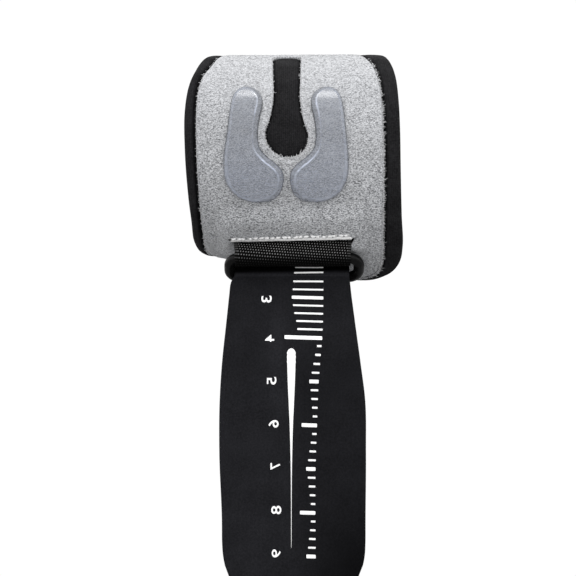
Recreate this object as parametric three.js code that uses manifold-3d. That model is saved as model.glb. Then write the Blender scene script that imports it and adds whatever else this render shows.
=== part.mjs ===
// Wrist brace: a shaped stretch band with a loop-pile face, a ring on a webbing tab, and a pull
// strap that is doubled back through the ring. Millimetres, in the form that it has when worn.
// +X runs along the forearm from the hand to the elbow, +Z is up, and the show side faces -Y.
// The origin is the middle of the wrist.
import * as THREE from "three";
import { mergeVertices } from "three/addons/utils/BufferGeometryUtils.js";
import Module from "manifold-3d";

// The wrist form: a superellipse that grows and drops toward the elbow, in mm and mm per mm of X
const wrist = {
  halfDepth: 28.4,
  halfHeight: 21.5,
  roundness: 2.35,
  depthTaper: 0.03,
  heightTaper: 0.088,
  axisTilt: -0.082,
};

// Layers, as distances out from the wrist
const gap = 0.3;
const baseWall = 2.6;
const panelInside = baseWall + gap;
const panelWall = 1.1;
const panelOutside = panelInside + panelWall;
const border = {
  raise: 1.25,
  clear: 0.35,
  slope: 0.65,
  lowEnd: -50,
  lowFull: -44,
  highFull: 50,
  highEnd: 86,
};

// The band's edges: along is the distance round the panel's outer face from the front midline
const bandEdges = [
  { along: -54, left: -9.0, right: 4.0 },
  { along: -53, left: -13.5, right: 7.6 },
  { along: -50, left: -18.6, right: 10.8 },
  { along: -46, left: -21.2, right: 13.4 },
  { along: -40, left: -22.5, right: 16.8 },
  { along: -34, left: -23.1, right: 20.2 },
  { along: -30, left: -23.4, right: 22.6 },
  { along: -26, left: -23.5, right: 24.3 },
  { along: -21, left: -23.6, right: 25.1 },
  { along: -12, left: -24.2, right: 24.8 },
  { along: 0, left: -24.9, right: 24.5 },
  { along: 9, left: -25.0, right: 24.4 },
  { along: 17, left: -24.2, right: 24.1 },
  { along: 26, left: -22.3, right: 23.2 },
  { along: 34, left: -20.7, right: 22.1 },
  { along: 44, left: -19.4, right: 21.0 },
  { along: 58, left: -18.2, right: 19.0 },
  { along: 74, left: -17.2, right: 17.3 },
  { along: 104, left: -17.0, right: 17.0 },
];
const panelEdges = [
  { along: -50, left: -8.0, right: 2.6 },
  { along: -49, left: -12.0, right: 5.6 },
  { along: -46, left: -16.4, right: 8.9 },
  { along: -41, left: -19.3, right: 12.9 },
  { along: -36, left: -20.2, right: 16.6 },
  { along: -31, left: -20.6, right: 19.4 },
  { along: -26, left: -20.8, right: 20.3 },
  { along: -15, left: -21.4, right: 20.5 },
  { along: 0, left: -22.2, right: 20.6 },
  { along: 8, left: -22.3, right: 20.5 },
  { along: 15, left: -21.9, right: 20.3 },
  { along: 20, left: -21.0, right: 19.9 },
  { along: 26, left: -19.1, right: 19.2 },
  { along: 33, left: -17.8, right: 17.8 },
  { along: 40, left: -16.3, right: 16.2 },
  { along: 48, left: -13.2, right: 13.4 },
  { along: 54, left: -9.2, right: 9.6 },
  { along: 57, left: -5.6, right: 6.2 },
  { along: 58.5, left: -2.2, right: 2.9 },
];

// The keyhole cut in the panel: a round bulb with a long stem above it
const keyhole = { axis: -1.55, bulbAlong: 4.85, bulbRadius: 4.95, neckAlong: 6.2, topAlong: 37 };
const keyholeStem = [
  { along: 6.2, half: 4.76 },
  { along: 7.6, half: 4.26 },
  { along: 9.4, half: 3.77 },
  { along: 11.5, half: 3.38 },
  { along: 14, half: 3.1 },
  { along: 21, half: 3.12 },
  { along: 29, half: 3.26 },
  { along: 37, half: 3.3 },
];

// The gel pads, row by row in height, as distances from the keyhole's axis
const padHeight = 1.6;
const padEdges = [
  { height: -10, inner: 5.4, outer: 6.8 },
  { height: -9.6, inner: 3.3, outer: 9.4 },
  { height: -8.5, inner: 1.8, outer: 11.5 },
  { height: -6.5, inner: 0.9, outer: 13.1 },
  { height: -4.4, inner: 0.65, outer: 13.9 },
  { height: -2.9, inner: 1.05, outer: 14.1 },
  { height: -1.3, inner: 2.45, outer: 14.15 },
  { height: 0.2, inner: 4.4, outer: 14.1 },
  { height: 2, inner: 6.0, outer: 14.0 },
  { height: 3.9, inner: 6.5, outer: 13.85 },
  { height: 6.3, inner: 6.5, outer: 13.6 },
  { height: 9.5, inner: 6.15, outer: 13.3 },
  { height: 12.2, inner: 5.6, outer: 13.0 },
  { height: 13.6, inner: 5.45, outer: 12.7 },
  { height: 15, inner: 5.95, outer: 11.6 },
  { height: 15.8, inner: 6.85, outer: 10.7 },
  { height: 16.2, inner: 8.3, outer: 9.4 },
];

// The ring: round wire bent to a long rounded rectangle, leaning back toward its lower bar
const ring = { wire: 2.5, length: 29.8, middle: 0.18, corner: 2.4 };
const upperBar = { y: -25.4, z: -22.8 };
const lowerBar = { y: -20.9, z: -27.1 };

// The webbing tab, folded round the upper bar
const webbing = { wall: 0.9, middle: -0.17, slitHalf: 13.65, frontHalf: 13.3, backHalf: 12.3, tailTop: -16 };
const slit = { height: -18.8, drop: 5, left: -14.3, right: 13.8 };
const bulge = { lift: webbing.wall + gap, up: 8.5, side: 4, down: 3.4, level: 0.5 };

// The pull strap: sewn on the band's tail, round under the wrist, over the lower bar and down.
// Its twist is the turn of its first touch on the bar, in degrees per mm of X
const strapWall = 1.2;
const strapLength = 85;
const strapCorner = 6;
const strapTwist = 1.4;
const strapSway = { reach: 6.4, over: 20 };
const strapWrap = [
  { along: 88, left: -16.8, right: 16.8, inside: baseWall + gap },
  { along: 104, left: -16.8, right: 16.8, inside: baseWall + gap },
  { along: 120, left: -15.6, right: 15.6, inside: panelOutside + gap },
  { along: 132, left: -13.6, right: 13.0, inside: panelOutside + gap },
  { along: 152, left: -12.5, right: 12.7, inside: panelOutside + gap },
];
const strapFall = [
  { fall: 0, left: -13.5, right: 12.7 },
  { fall: 1.2, left: -14.5, right: 12.8 },
  { fall: 4, left: -14.85, right: 13.0 },
  { fall: 8, left: -15.2, right: 13.5 },
  { fall: 12, left: -15.6, right: 14.2 },
  { fall: 20, left: -16.4, right: 15.4 },
  { fall: 28, left: -16.9, right: 16.4 },
  { fall: 40, left: -17.0, right: 16.6 },
  { fall: 56, left: -16.4, right: 16.5 },
  { fall: 85, left: -16.4, right: 16.5 },
];
const hookTab = { width: 28, height: 13, wall: 1.2, corner: 3, fall: 76 };

const colours = {
  base: 0x2a2a2c,
  panel: 0xb2b4b8,
  gel: 0x9398a1,
  webbing: 0x222224,
  ring: 0x1c1c1e,
  strap: 0x222225,
  hook: 0x28282a,
};

// A smooth curve through one column of a table
function column(rows, key, name) {
  const keys = rows.map((row) => row[key]);
  const values = rows.map((row) => row[name]);
  const curve = new THREE.CubicInterpolant(keys, values, 1);
  return (at) => curve.evaluate(at)[0];
}

// The wrist's cross-section at X: angle 0 is the front, 90 degrees the top, 180 degrees the back
function sectionPoint(angle, x, offset) {
  const halfDepth = wrist.halfDepth + wrist.depthTaper * x;
  const halfHeight = wrist.halfHeight + wrist.heightTaper * x;
  const power = wrist.roundness;
  const forward = Math.abs(Math.cos(angle) / halfDepth) ** power;
  const upward = Math.abs(Math.sin(angle) / halfHeight) ** power;
  const radius = (forward + upward) ** (-1 / power);
  const y = -radius * Math.cos(angle);
  const z = radius * Math.sin(angle);
  const normal = new THREE.Vector2(
    (Math.sign(y) * Math.abs(y / halfDepth) ** (power - 1)) / halfDepth,
    (Math.sign(z) * Math.abs(z / halfHeight) ** (power - 1)) / halfHeight,
  ).normalize();
  return new THREE.Vector3(x, y + offset * normal.x, z + offset * normal.y + wrist.axisTilt * x);
}

// Angle for a distance along the panel's outer face at X = 0, from a table of arc lengths
const firstDegree = -200;
const lastDegree = 330;
const arcLengths = [0];
const arcAngles = [THREE.MathUtils.degToRad(firstDegree)];
for (let degree = firstDegree + 1; degree <= lastDegree; degree++) {
  const angle = THREE.MathUtils.degToRad(degree);
  const before = sectionPoint(arcAngles.at(-1), 0, panelOutside);
  const step = sectionPoint(angle, 0, panelOutside).distanceTo(before);
  arcLengths.push(arcLengths.at(-1) + step);
  arcAngles.push(angle);
}
const frontLength = arcLengths[-firstDegree];
const arcAlongs = arcLengths.map((length) => length - frontLength);
const angleCurve = new THREE.LinearInterpolant(arcAlongs, arcAngles, 1);
const formPoint = (along, x, offset) => sectionPoint(angleCurve.evaluate(along)[0], x, offset);

// Distance along the front at which the form, at X and an offset, is at a given height
function alongAtHeight(height, x, offset) {
  let low = -44;
  let high = 44;
  for (let round = 0; round < 40; round++) {
    const middle = (low + high) / 2;
    if (formPoint(middle, x, offset).z < height) low = middle;
    else high = middle;
  }
  return (low + high) / 2;
}

const steps = (first, last, count) =>
  Array.from({ length: count + 1 }, (_, index) => first + ((last - first) * index) / count);

// Closed solid between two grids of points, which are lists of rows from one edge to the other
function solidBetween(inside, outside) {
  const rows = inside.length;
  const columns = inside[0].length;
  const points = [...inside.flat(), ...outside.flat()];
  const at = (layer, row, step) => layer * rows * columns + row * columns + step;
  const faces = [];
  const quad = (a, b, c, d) => faces.push(a, b, c, a, c, d);
  for (let row = 0; row + 1 < rows; row++) {
    for (let step = 0; step + 1 < columns; step++) {
      quad(at(1, row, step), at(1, row, step + 1), at(1, row + 1, step + 1), at(1, row + 1, step));
      quad(at(0, row, step), at(0, row + 1, step), at(0, row + 1, step + 1), at(0, row, step + 1));
    }
    const last = columns - 1;
    quad(at(0, row, 0), at(1, row, 0), at(1, row + 1, 0), at(0, row + 1, 0));
    quad(at(1, row, last), at(0, row, last), at(0, row + 1, last), at(1, row + 1, last));
  }
  for (let step = 0; step + 1 < columns; step++) {
    const last = rows - 1;
    quad(at(0, 0, step), at(0, 0, step + 1), at(1, 0, step + 1), at(1, 0, step));
    quad(at(1, last, step), at(1, last, step + 1), at(0, last, step + 1), at(0, last, step));
  }
  const geometry = new THREE.BufferGeometry();
  geometry.setAttribute("position", new THREE.Float32BufferAttribute(points.flatMap((p) => p.toArray()), 3));
  geometry.setIndex(faces);
  return geometry;
}

// Closed solid of one wall thickness about a grid of middle points
function sheetSolid(grid, wall) {
  const shifted = (distance) =>
    grid.map((row, r) =>
      row.map((point, c) => {
        const before = grid[Math.max(r - 1, 0)][c];
        const after = grid[Math.min(r + 1, grid.length - 1)][c];
        const left = row[Math.max(c - 1, 0)];
        const right = row[Math.min(c + 1, row.length - 1)];
        const across = new THREE.Vector3().subVectors(right, left);
        const down = new THREE.Vector3().subVectors(after, before);
        return point.clone().addScaledVector(across.cross(down).normalize(), distance);
      }),
    );
  return solidBetween(shifted(-wall / 2), shifted(wall / 2));
}

// Rows of a strip on the wrist form, with its edges and its offset as functions
function formGrid(alongs, columns, left, right, offset) {
  return alongs.map((along) =>
    steps(left(along), right(along), columns).map((x) => formPoint(along, x, offset(along, x))),
  );
}

const wasm = await Module();
wasm.setup();

function toManifold(geometry) {
  const plain = mergeVertices(geometry, 1e-5);
  const vertProperties = Float32Array.from(plain.attributes.position.array);
  const triVerts = Uint32Array.from(plain.index.array);
  return new wasm.Manifold(new wasm.Mesh({ numProp: 3, vertProperties, triVerts }));
}

function cutAway(geometry, cutters) {
  const solid = cutters.reduce((left, cutter) => left.subtract(toManifold(cutter)), toManifold(geometry));
  const mesh = solid.getMesh();
  const result = new THREE.BufferGeometry();
  result.setAttribute("position", new THREE.Float32BufferAttribute(mesh.vertProperties, 3));
  result.setIndex(Array.from(mesh.triVerts));
  return result;
}

const brace = new THREE.Group();

function addPiece(name, geometry, color, roughness, metalness = 0) {
  const flat = geometry.index ? geometry.toNonIndexed() : geometry;
  flat.computeVertexNormals();
  const mesh = new THREE.Mesh(flat, new THREE.MeshStandardMaterial({ color, roughness, metalness }));
  mesh.name = name;
  brace.add(mesh);
  return mesh;
}

// The edges of the cloth layers, as curves
const bandLeft = column(bandEdges, "along", "left");
const bandRight = column(bandEdges, "along", "right");
const panelLeft = column(panelEdges, "along", "left");
const panelRight = column(panelEdges, "along", "right");
const bandStart = bandEdges[0].along;
const bandEnd = bandEdges.at(-1).along;
const panelStart = panelEdges[0].along;
const panelEnd = panelEdges.at(-1).along;

// Rows that the panel and the band under it share, closer at the round lower end
const panelRows = [...steps(panelStart, -44, 5), ...steps(-41, -10, 16), ...steps(-7.5, panelEnd, 25)];

// Base band: its border stands up beside the panel, nearly flush with the panel's face
function baseBand() {
  const startRows = steps(bandStart, panelStart - 1, 3);
  const tailRows = steps(panelEnd + 1.5, bandEnd, 13);
  const alongs = [...startRows, ...panelRows, ...tailRows];
  const lip = border.clear + border.slope;
  const layer = (wall) =>
    alongs.map((along) => {
      const covered = THREE.MathUtils.clamp(along, panelStart, panelEnd);
      const [left, right] = [panelLeft(covered), panelRight(covered)];
      const [first, last] = [bandLeft(along), bandRight(along)];
      const low = THREE.MathUtils.smoothstep(along, border.lowEnd, border.lowFull);
      const high = 1 - THREE.MathUtils.smoothstep(along, border.highFull, border.highEnd);
      const bare = THREE.MathUtils.smoothstep(along, panelEnd + gap, panelEnd + 4);
      const raised = wall + border.raise * low * high;
      const bed = wall + border.raise * high * bare;
      const outer = [first, (first + left - lip) / 2, left - lip].map((x) => formPoint(along, x, raised));
      const under = steps(left - border.clear, right + border.clear, 4).map((x) => formPoint(along, x, bed));
      const other = [right + lip, (last + right + lip) / 2, last].map((x) => formPoint(along, x, raised));
      return [...outer, ...under, ...other];
    });
  return solidBetween(layer(0), layer(baseWall));
}

// The panel lifts over the webbing's tail, above the slit
function panelLift(along, x) {
  const height = formPoint(along, x, panelOutside).z;
  const rise = height > slit.height ? (height - slit.height) / bulge.up : (slit.height - height) / bulge.down;
  const beside = Math.max(slit.left - x, x - slit.right, 0) / bulge.side;
  const fade = (share, level) => 1 - THREE.MathUtils.smoothstep(share, level, 1);
  return bulge.lift * fade(rise, bulge.level) * fade(beside, 0.1);
}

function keyholeCutter() {
  const stem = column(keyholeStem, "along", "half");
  const { axis, bulbAlong, bulbRadius, neckAlong, topAlong } = keyhole;
  const bulbHalf = (along) => Math.sqrt(Math.max(bulbRadius ** 2 - (along - bulbAlong) ** 2, 0.04));
  const half = (along) => (along < neckAlong ? bulbHalf(along) : stem(along));
  const bulbRows = steps(-Math.PI / 2, Math.asin((neckAlong - bulbAlong) / bulbRadius), 8);
  const alongs = [
    ...bulbRows.map((angle) => bulbAlong + bulbRadius * Math.sin(angle)),
    ...steps(neckAlong, topAlong, 14).slice(1),
  ];
  const left = (along) => axis - half(along);
  const right = (along) => axis + half(along);
  const layer = (offset) => formGrid(alongs, 4, left, right, () => offset);
  return solidBetween(layer(panelInside - gap / 2), layer(panelOutside + gap));
}

function slitCutter() {
  const across = steps(slit.left, slit.right, 10);
  const depth = [0, 0.25, 0.5, 0.75, 1];
  const layer = (offset) =>
    depth.toReversed().map((share) =>
      across.map((x) => {
        const top = alongAtHeight(slit.height, x, panelOutside + bulge.lift);
        return formPoint(top - share * slit.drop, x, offset);
      }),
    );
  return solidBetween(layer(panelInside - gap / 2), layer(panelOutside + 2 * bulge.lift));
}

function loopPanel() {
  const layer = (offset) =>
    formGrid(panelRows, 16, panelLeft, panelRight, (along, x) => offset + panelLift(along, x));
  const whole = solidBetween(layer(panelInside), layer(panelOutside));
  return cutAway(whole, [keyholeCutter(), slitCutter()]);
}

// A gel pad: a domed patch on the panel, on one side of the keyhole, with level rows
function gelPad(side) {
  const inner = column(padEdges, "height", "inner");
  const outer = column(padEdges, "height", "outer");
  const start = padEdges[0].height;
  const end = padEdges.at(-1).height;
  const eased = (count) => steps(0, Math.PI, count).map((angle) => (1 - Math.cos(angle)) / 2);
  const dome = (share) => Math.sqrt(1 - Math.abs(2 * share - 1) ** 3);
  const foot = panelOutside + gap;
  const layer = (thickness) =>
    eased(16).map((climb) => {
      const height = THREE.MathUtils.lerp(start, end, climb);
      const row = eased(8).map((share) => {
        const x = keyhole.axis + side * THREE.MathUtils.lerp(inner(height), outer(height), share);
        const rise = thickness * (0.25 + 0.75 * dome(climb) * dome(share));
        return formPoint(alongAtHeight(height, x, foot), x, foot + rise);
      });
      return side < 0 ? row.toReversed() : row;
    });
  return solidBetween(layer(0), layer(padHeight));
}

// A run of points from one place to another that leaves and arrives along given directions
function runBetween(from, leaving, to, arriving, count) {
  const reach = from.distanceTo(to);
  const first = from.clone().addScaledVector(leaving, reach / 3);
  const second = to.clone().addScaledVector(arriving, -reach / 3);
  return new THREE.CubicBezierCurve3(from, first, second, to).getPoints(count);
}

const barPoint = (bar, x, radius, angle) =>
  new THREE.Vector3(x, bar.y + radius * Math.cos(angle), bar.z + radius * Math.sin(angle));

// Webbing tab: the tail lies on the band under the panel, the fold goes round the upper bar and
// narrows between the ring's corners, and the short back ply ends behind the front one
function webbingTab() {
  const offset = baseWall + gap + webbing.wall / 2;
  const radius = ring.wire / 2 + gap + webbing.wall / 2;
  const up = new THREE.Vector3(0, 0, 1);
  const behind = new THREE.Vector3(0, 1, -1).normalize();
  const columns = steps(-1, 1, 8).map((share) => {
    const x = webbing.middle + share * webbing.slitHalf;
    const foldHalf = (angle) =>
      THREE.MathUtils.mapLinear(angle, Math.PI, 2 * Math.PI, webbing.frontHalf, webbing.backHalf);
    const foldPoint = (angle) => barPoint(upperBar, webbing.middle + share * foldHalf(angle), radius, angle);
    const onBand = (height) => formPoint(alongAtHeight(height, x, offset), x, offset);
    const tail = steps(webbing.tailTop, slit.height + 1.2, 4).map(onBand);
    const tailEnd = tail.at(-1);
    const leaving = new THREE.Vector3().subVectors(tailEnd, tail.at(-2)).normalize();
    const fold = steps(Math.PI, 2 * Math.PI, 10).map(foldPoint);
    const frontRun = runBetween(tailEnd, leaving, fold[0], up.clone().negate(), 6);
    const backEnd = frontRun[2].clone().addScaledVector(behind, webbing.wall + gap);
    return [
      ...tail.slice(0, -1),
      ...frontRun.slice(0, -1),
      ...fold,
      ...runBetween(fold.at(-1), up, backEnd, up, 3).slice(1),
    ];
  });
  const grid = columns[0].map((_, row) => columns.map((points) => points[row]));
  return sheetSolid(grid.toReversed(), webbing.wall);
}

// The ring's middle line is a rounded rectangle in the plane of its two bars
function ringBody() {
  const across = new THREE.Vector3(0, upperBar.y - lowerBar.y, upperBar.z - lowerBar.z);
  const width = across.length();
  across.normalize();
  const along = new THREE.Vector3(1, 0, 0);
  const normal = new THREE.Vector3().crossVectors(along, across);
  const centre = new THREE.Vector3(
    ring.middle,
    (upperBar.y + lowerBar.y) / 2,
    (upperBar.z + lowerBar.z) / 2,
  );
  const cornerX = ring.length / 2 - ring.corner;
  const cornerZ = width / 2 - ring.corner;
  const corners = [
    { x: cornerX, z: cornerZ, start: 0 },
    { x: -cornerX, z: cornerZ, start: 1 },
    { x: -cornerX, z: -cornerZ, start: 2 },
    { x: cornerX, z: -cornerZ, start: 3 },
  ];
  const sides = 10;
  const sections = corners.flatMap((corner) =>
    steps(0, 1, 6).map((share) => {
      const angle = ((corner.start + share) * Math.PI) / 2;
      const outward = along.clone().multiplyScalar(Math.cos(angle)).addScaledVector(across, Math.sin(angle));
      const middle = centre.clone().addScaledVector(along, corner.x).addScaledVector(across, corner.z);
      middle.addScaledVector(outward, ring.corner);
      return Array.from({ length: sides }, (_, side) => {
        const turn = (2 * Math.PI * side) / sides;
        return middle
          .clone()
          .addScaledVector(outward, (ring.wire / 2) * Math.cos(turn))
          .addScaledVector(normal, (ring.wire / 2) * Math.sin(turn));
      });
    }),
  );
  const faces = [];
  sections.forEach((_, row) => {
    const next = (row + 1) % sections.length;
    for (let side = 0; side < sides; side++) {
      const turned = (side + 1) % sides;
      const [a, b] = [row * sides + side, next * sides + side];
      const [c, d] = [next * sides + turned, row * sides + turned];
      faces.push(a, b, c, a, c, d);
    }
  });
  const points = sections.flat().flatMap((point) => point.toArray());
  const geometry = new THREE.BufferGeometry();
  geometry.setAttribute("position", new THREE.Float32BufferAttribute(points, 3));
  geometry.setIndex(faces);
  return geometry;
}

// Pull strap: how far it hangs forward at a distance below the lower bar
const strapRadius = ring.wire / 2 + gap + strapWall / 2;
const strapY = (fall) =>
  lowerBar.y - strapRadius - strapSway.reach * THREE.MathUtils.smoothstep(fall, 0, strapSway.over);

function pullStrap() {
  const wrapLeft = column(strapWrap, "along", "left");
  const wrapRight = column(strapWrap, "along", "right");
  const wrapInside = column(strapWrap, "along", "inside");
  const fallLeft = column(strapFall, "fall", "left");
  const fallRight = column(strapFall, "fall", "right");
  const leave = strapWrap.at(-1).along;
  const wrapRows = steps(strapWrap[0].along, leave, 16);
  const cornerRows = steps(0, Math.PI / 2, 4).map(
    (angle) => strapLength - strapCorner + strapCorner * Math.sin(angle),
  );
  const fallRows = [0, 1.2, ...steps(4, strapLength - strapCorner, 20), ...cornerRows.slice(1)];
  const columns = steps(0, 1, 8).map((share) => {
    const wrapped = wrapRows.map((along) => {
      const x = THREE.MathUtils.lerp(wrapLeft(along), wrapRight(along), share);
      return formPoint(along, x, wrapInside(along) + strapWall / 2);
    });
    const leaving = new THREE.Vector3().subVectors(wrapped.at(-1), wrapped.at(-2)).normalize();
    const barX = THREE.MathUtils.lerp(wrapLeft(leave), wrapRight(leave), share);
    const rise = THREE.MathUtils.degToRad(90 - strapTwist * barX);
    const bend = steps(rise, Math.PI, 7).map((angle) => barPoint(lowerBar, barX, strapRadius, angle));
    const arriving = new THREE.Vector3(0, -Math.sin(rise), Math.cos(rise));
    const hanging = fallRows.map((fall) => {
      const past = Math.max(fall - strapLength + strapCorner, 0);
      const inset = strapCorner - Math.sqrt(strapCorner ** 2 - past ** 2);
      const x = THREE.MathUtils.lerp(fallLeft(fall) + inset, fallRight(fall) - inset, share);
      return new THREE.Vector3(x, strapY(fall), lowerBar.z - fall);
    });
    return [
      ...wrapped.slice(0, -1),
      ...runBetween(wrapped.at(-1), leaving, bend[0], arriving, 5).slice(0, -1),
      ...bend.slice(0, -1),
      ...hanging,
    ];
  });
  const grid = columns[0].map((_, row) => columns.map((points) => points[row]));
  return sheetSolid(grid, strapWall);
}

// Hook tab: a flat plate with round corners on the strap's back face at its free end
function hookPlate() {
  const { width, height, wall, corner } = hookTab;
  const outline = new THREE.Shape();
  const right = width / 2 - corner;
  const top = height / 2 - corner;
  outline.absarc(right, top, corner, 0, Math.PI / 2);
  outline.absarc(-right, top, corner, Math.PI / 2, Math.PI);
  outline.absarc(-right, -top, corner, Math.PI, 1.5 * Math.PI);
  outline.absarc(right, -top, corner, 1.5 * Math.PI, 2 * Math.PI);
  return new THREE.ExtrudeGeometry(outline, { depth: wall, bevelEnabled: false, curveSegments: 5 });
}

addPiece("base_band", baseBand(), colours.base, 0.85);
addPiece("loop_panel", loopPanel(), colours.panel, 0.95);
addPiece("gel_pad_left", gelPad(-1), colours.gel, 0.25);
addPiece("gel_pad_right", gelPad(1), colours.gel, 0.25);
addPiece("webbing_tab", webbingTab(), colours.webbing, 0.8);
addPiece("ring", ringBody(), colours.ring, 0.4);
addPiece("pull_strap", pullStrap(), colours.strap, 0.6);

const hook = addPiece("hook_tab", hookPlate(), colours.hook, 0.9);
hook.rotation.x = -Math.PI / 2;
hook.position.set(0, strapY(hookTab.fall) + strapWall / 2 + gap, lowerBar.z - hookTab.fall);

export default brace;
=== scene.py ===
import math

import bmesh
import bpy
import numpy as np
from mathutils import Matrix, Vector


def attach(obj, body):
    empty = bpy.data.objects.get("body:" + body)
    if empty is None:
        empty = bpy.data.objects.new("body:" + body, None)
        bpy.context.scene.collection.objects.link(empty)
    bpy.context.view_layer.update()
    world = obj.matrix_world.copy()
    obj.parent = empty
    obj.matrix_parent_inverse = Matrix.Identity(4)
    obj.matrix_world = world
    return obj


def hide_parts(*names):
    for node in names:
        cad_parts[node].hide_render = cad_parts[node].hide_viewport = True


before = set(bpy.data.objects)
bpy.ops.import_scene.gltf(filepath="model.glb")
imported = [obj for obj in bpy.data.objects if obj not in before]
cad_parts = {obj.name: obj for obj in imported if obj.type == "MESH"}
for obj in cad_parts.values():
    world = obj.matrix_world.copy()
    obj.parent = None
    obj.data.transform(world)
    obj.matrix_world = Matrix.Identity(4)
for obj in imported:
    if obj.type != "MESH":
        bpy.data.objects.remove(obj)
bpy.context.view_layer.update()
print("frame:", ", ".join(sorted(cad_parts)))

# wrist form in mm: +X to the elbow, +Z up, the show side at -Y; walls are measured out from the wrist
wrist = {
    "halfDepth": 28.4, "halfHeight": 21.5, "roundness": 2.35,
    "depthTaper": 0.03, "heightTaper": 0.088, "axisTilt": -0.082,
    "baseWall": 2.6, "panelWall": 1.1, "gap": 0.3,
}
panelInside = wrist["baseWall"] + wrist["gap"]
panelOutside = panelInside + wrist["panelWall"]
mm = 0.001


# each vector over its own length
def unitLength(vectors):
    return vectors / np.maximum(np.linalg.norm(vectors, axis=-1, keepdims=True), 1e-9)


# distance covered along a path, from its first point to each of its points
def runLength(path):
    return np.concatenate([[0.0], np.cumsum(np.linalg.norm(np.diff(path, axis=0), axis=1))])


# section |y / depth|^n + |z / height|^n = 1 at this x, pushed out along its own normal by the offset
def sectionPoint(angle, x, offset):
    angle, x, offset = np.broadcast_arrays(angle, x, offset)
    power = wrist["roundness"]
    depth = wrist["halfDepth"] + wrist["depthTaper"] * x
    height = wrist["halfHeight"] + wrist["heightTaper"] * x
    spread = np.abs(np.cos(angle) / depth) ** power + np.abs(np.sin(angle) / height) ** power
    radius = spread ** (-1 / power)
    y, z = -radius * np.cos(angle), radius * np.sin(angle)
    normalY = np.sign(y) * np.abs(y / depth) ** (power - 1) / depth
    normalZ = np.sign(z) * np.abs(z / height) ** (power - 1) / height
    long = np.hypot(normalY, normalZ)
    y, z = y + offset * normalY / long, z + offset * normalZ / long
    return np.stack([x, y, z + wrist["axisTilt"] * x], -1)


# "along" is the distance round the panel's face at x = 0, up from the front midline
arcAngles = np.radians(np.arange(-200, 331))
arcAlong = runLength(sectionPoint(arcAngles, 0.0, panelOutside))
arcAlong -= np.interp(0.0, arcAngles, arcAlong)


# the section's point at a distance along
def formPoint(along, x, offset):
    return sectionPoint(np.interp(along, arcAlong, arcAngles), x, offset)


# halves the range until the form's height at x and offset is the one asked for
def alongAtHeight(height, x, offset, reach=44.0, halvings=34):
    height, x, offset = np.broadcast_arrays(height, x, offset)
    low, high = np.full(x.shape, -reach), np.full(x.shape, reach)
    for _ in range(halvings):
        middle = (low + high) / 2
        under = formPoint(middle, x, offset)[..., 2] < height
        low, high = np.where(under, middle, low), np.where(under, high, middle)
    return (low + high) / 2


# cubic through one column of a table, with slopes taken from the rows on both sides
def smoothColumn(table, place, at):
    rows = np.array(table, float)
    keys, values = rows[:, 0], rows[:, place]
    slopes = np.gradient(values, keys)
    at = np.clip(at, keys[0], keys[-1])
    k = np.clip(np.searchsorted(keys, at, side="right") - 1, 0, len(keys) - 2)
    span = keys[k + 1] - keys[k]
    t = (at - keys[k]) / span
    start = (1 + 2 * t) * (1 - t) ** 2 * values[k] + t * (1 - t) ** 2 * span * slopes[k]
    end = t ** 2 * (3 - 2 * t) * values[k + 1] + t ** 2 * (t - 1) * span * slopes[k + 1]
    return start + end


# straight lines through a table of two columns
def straightColumn(table, at):
    return np.interp(at, *np.array(table).T)


# 0 up to low, 1 from high, 3t^2 - 2t^3 between
def smoothStep(at, low, high):
    t = np.clip((at - low) / (high - low), 0, 1)
    return t * t * (3 - 2 * t)


# bell curve of height 1 about a place
def hump(at, place, wide):
    return np.exp(-((at - place) / wide) ** 2)


# quarter-round rise: 0 at the rim, 1 from one radius inward
def roundOff(distance, radius, power=2.0):
    return (1 - (1 - np.clip(distance / radius, 0, 1)) ** power) ** (1 / power)


# shortest distance from each point to a set of straight pieces, both in one plane
def distanceTo(points, starts, ends, batch=4000, nothing=1e-5):
    flat = points.reshape(-1, 2)
    nearest = np.empty(len(flat))
    way = ends - starts
    square = np.maximum((way ** 2).sum(1), 1e-12)
    for first in range(0, len(flat), batch):
        part = flat[first:first + batch, None] - starts
        share = np.clip((part * way).sum(2) / square, 0, 1)
        nearest[first:first + batch] = np.linalg.norm(part - share[..., None] * way, axis=2).min(1)
    return np.where(nearest < nothing, 0, nearest).reshape(points.shape[:-1])


# slow waves in many seeded directions, summed: a smooth unevenness of about unit height
def unevenness(x, along, shortest, longest, seed, waves=28):
    rng = np.random.default_rng(seed)
    length = rng.uniform(shortest, longest, waves)
    turn, phase = rng.uniform(0, 2 * np.pi, (2, waves))
    total = np.zeros(np.broadcast(x, along).shape)
    for size, angle, shift in zip(length, turn, phase):
        total += np.sin(2 * np.pi * (x * np.cos(angle) + along * np.sin(angle)) / size + shift)
    return total / math.sqrt(waves / 2)


# four-cornered faces between neighbours of a grid, whose rows or columns may join up in a ring
def gridFaces(rows, columns, closeRows=False, closeColumns=False):
    r, c = np.arange(rows - (not closeRows)), np.arange(columns - (not closeColumns))
    r, c = np.meshgrid(r, c, indexing="ij")
    nextR, nextC = (r + 1) % rows, (c + 1) % columns
    corners = [r * columns + c, r * columns + nextC, nextR * columns + nextC, nextR * columns + c]
    return np.stack(corners, -1).reshape(-1, 4)


# many grids of one size, stacked as (count, rows, columns, 3)
def manyFaces(count, rows, columns, closeColumns=False):
    one = gridFaces(rows, columns, closeColumns=closeColumns)
    return (np.arange(count)[:, None, None] * rows * columns + one).reshape(-1, 4)


# two grids that meet at their rim, the back one wound the other way
def bothSides(front, back):
    points = np.concatenate([front.reshape(-1, 3), back.reshape(-1, 3)])
    faces = gridFaces(*front.shape[:2])
    return points, np.concatenate([faces, faces[:, ::-1] + len(points) // 2])


# both faces of a cloth: its middle moved both ways along its normal by half its thickness
def clothFaces(middle, half):
    normal = unitLength(np.cross(np.gradient(middle, axis=1), np.gradient(middle, axis=0)))
    return bothSides(middle + normal * half[..., None], middle - normal * half[..., None])


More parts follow.
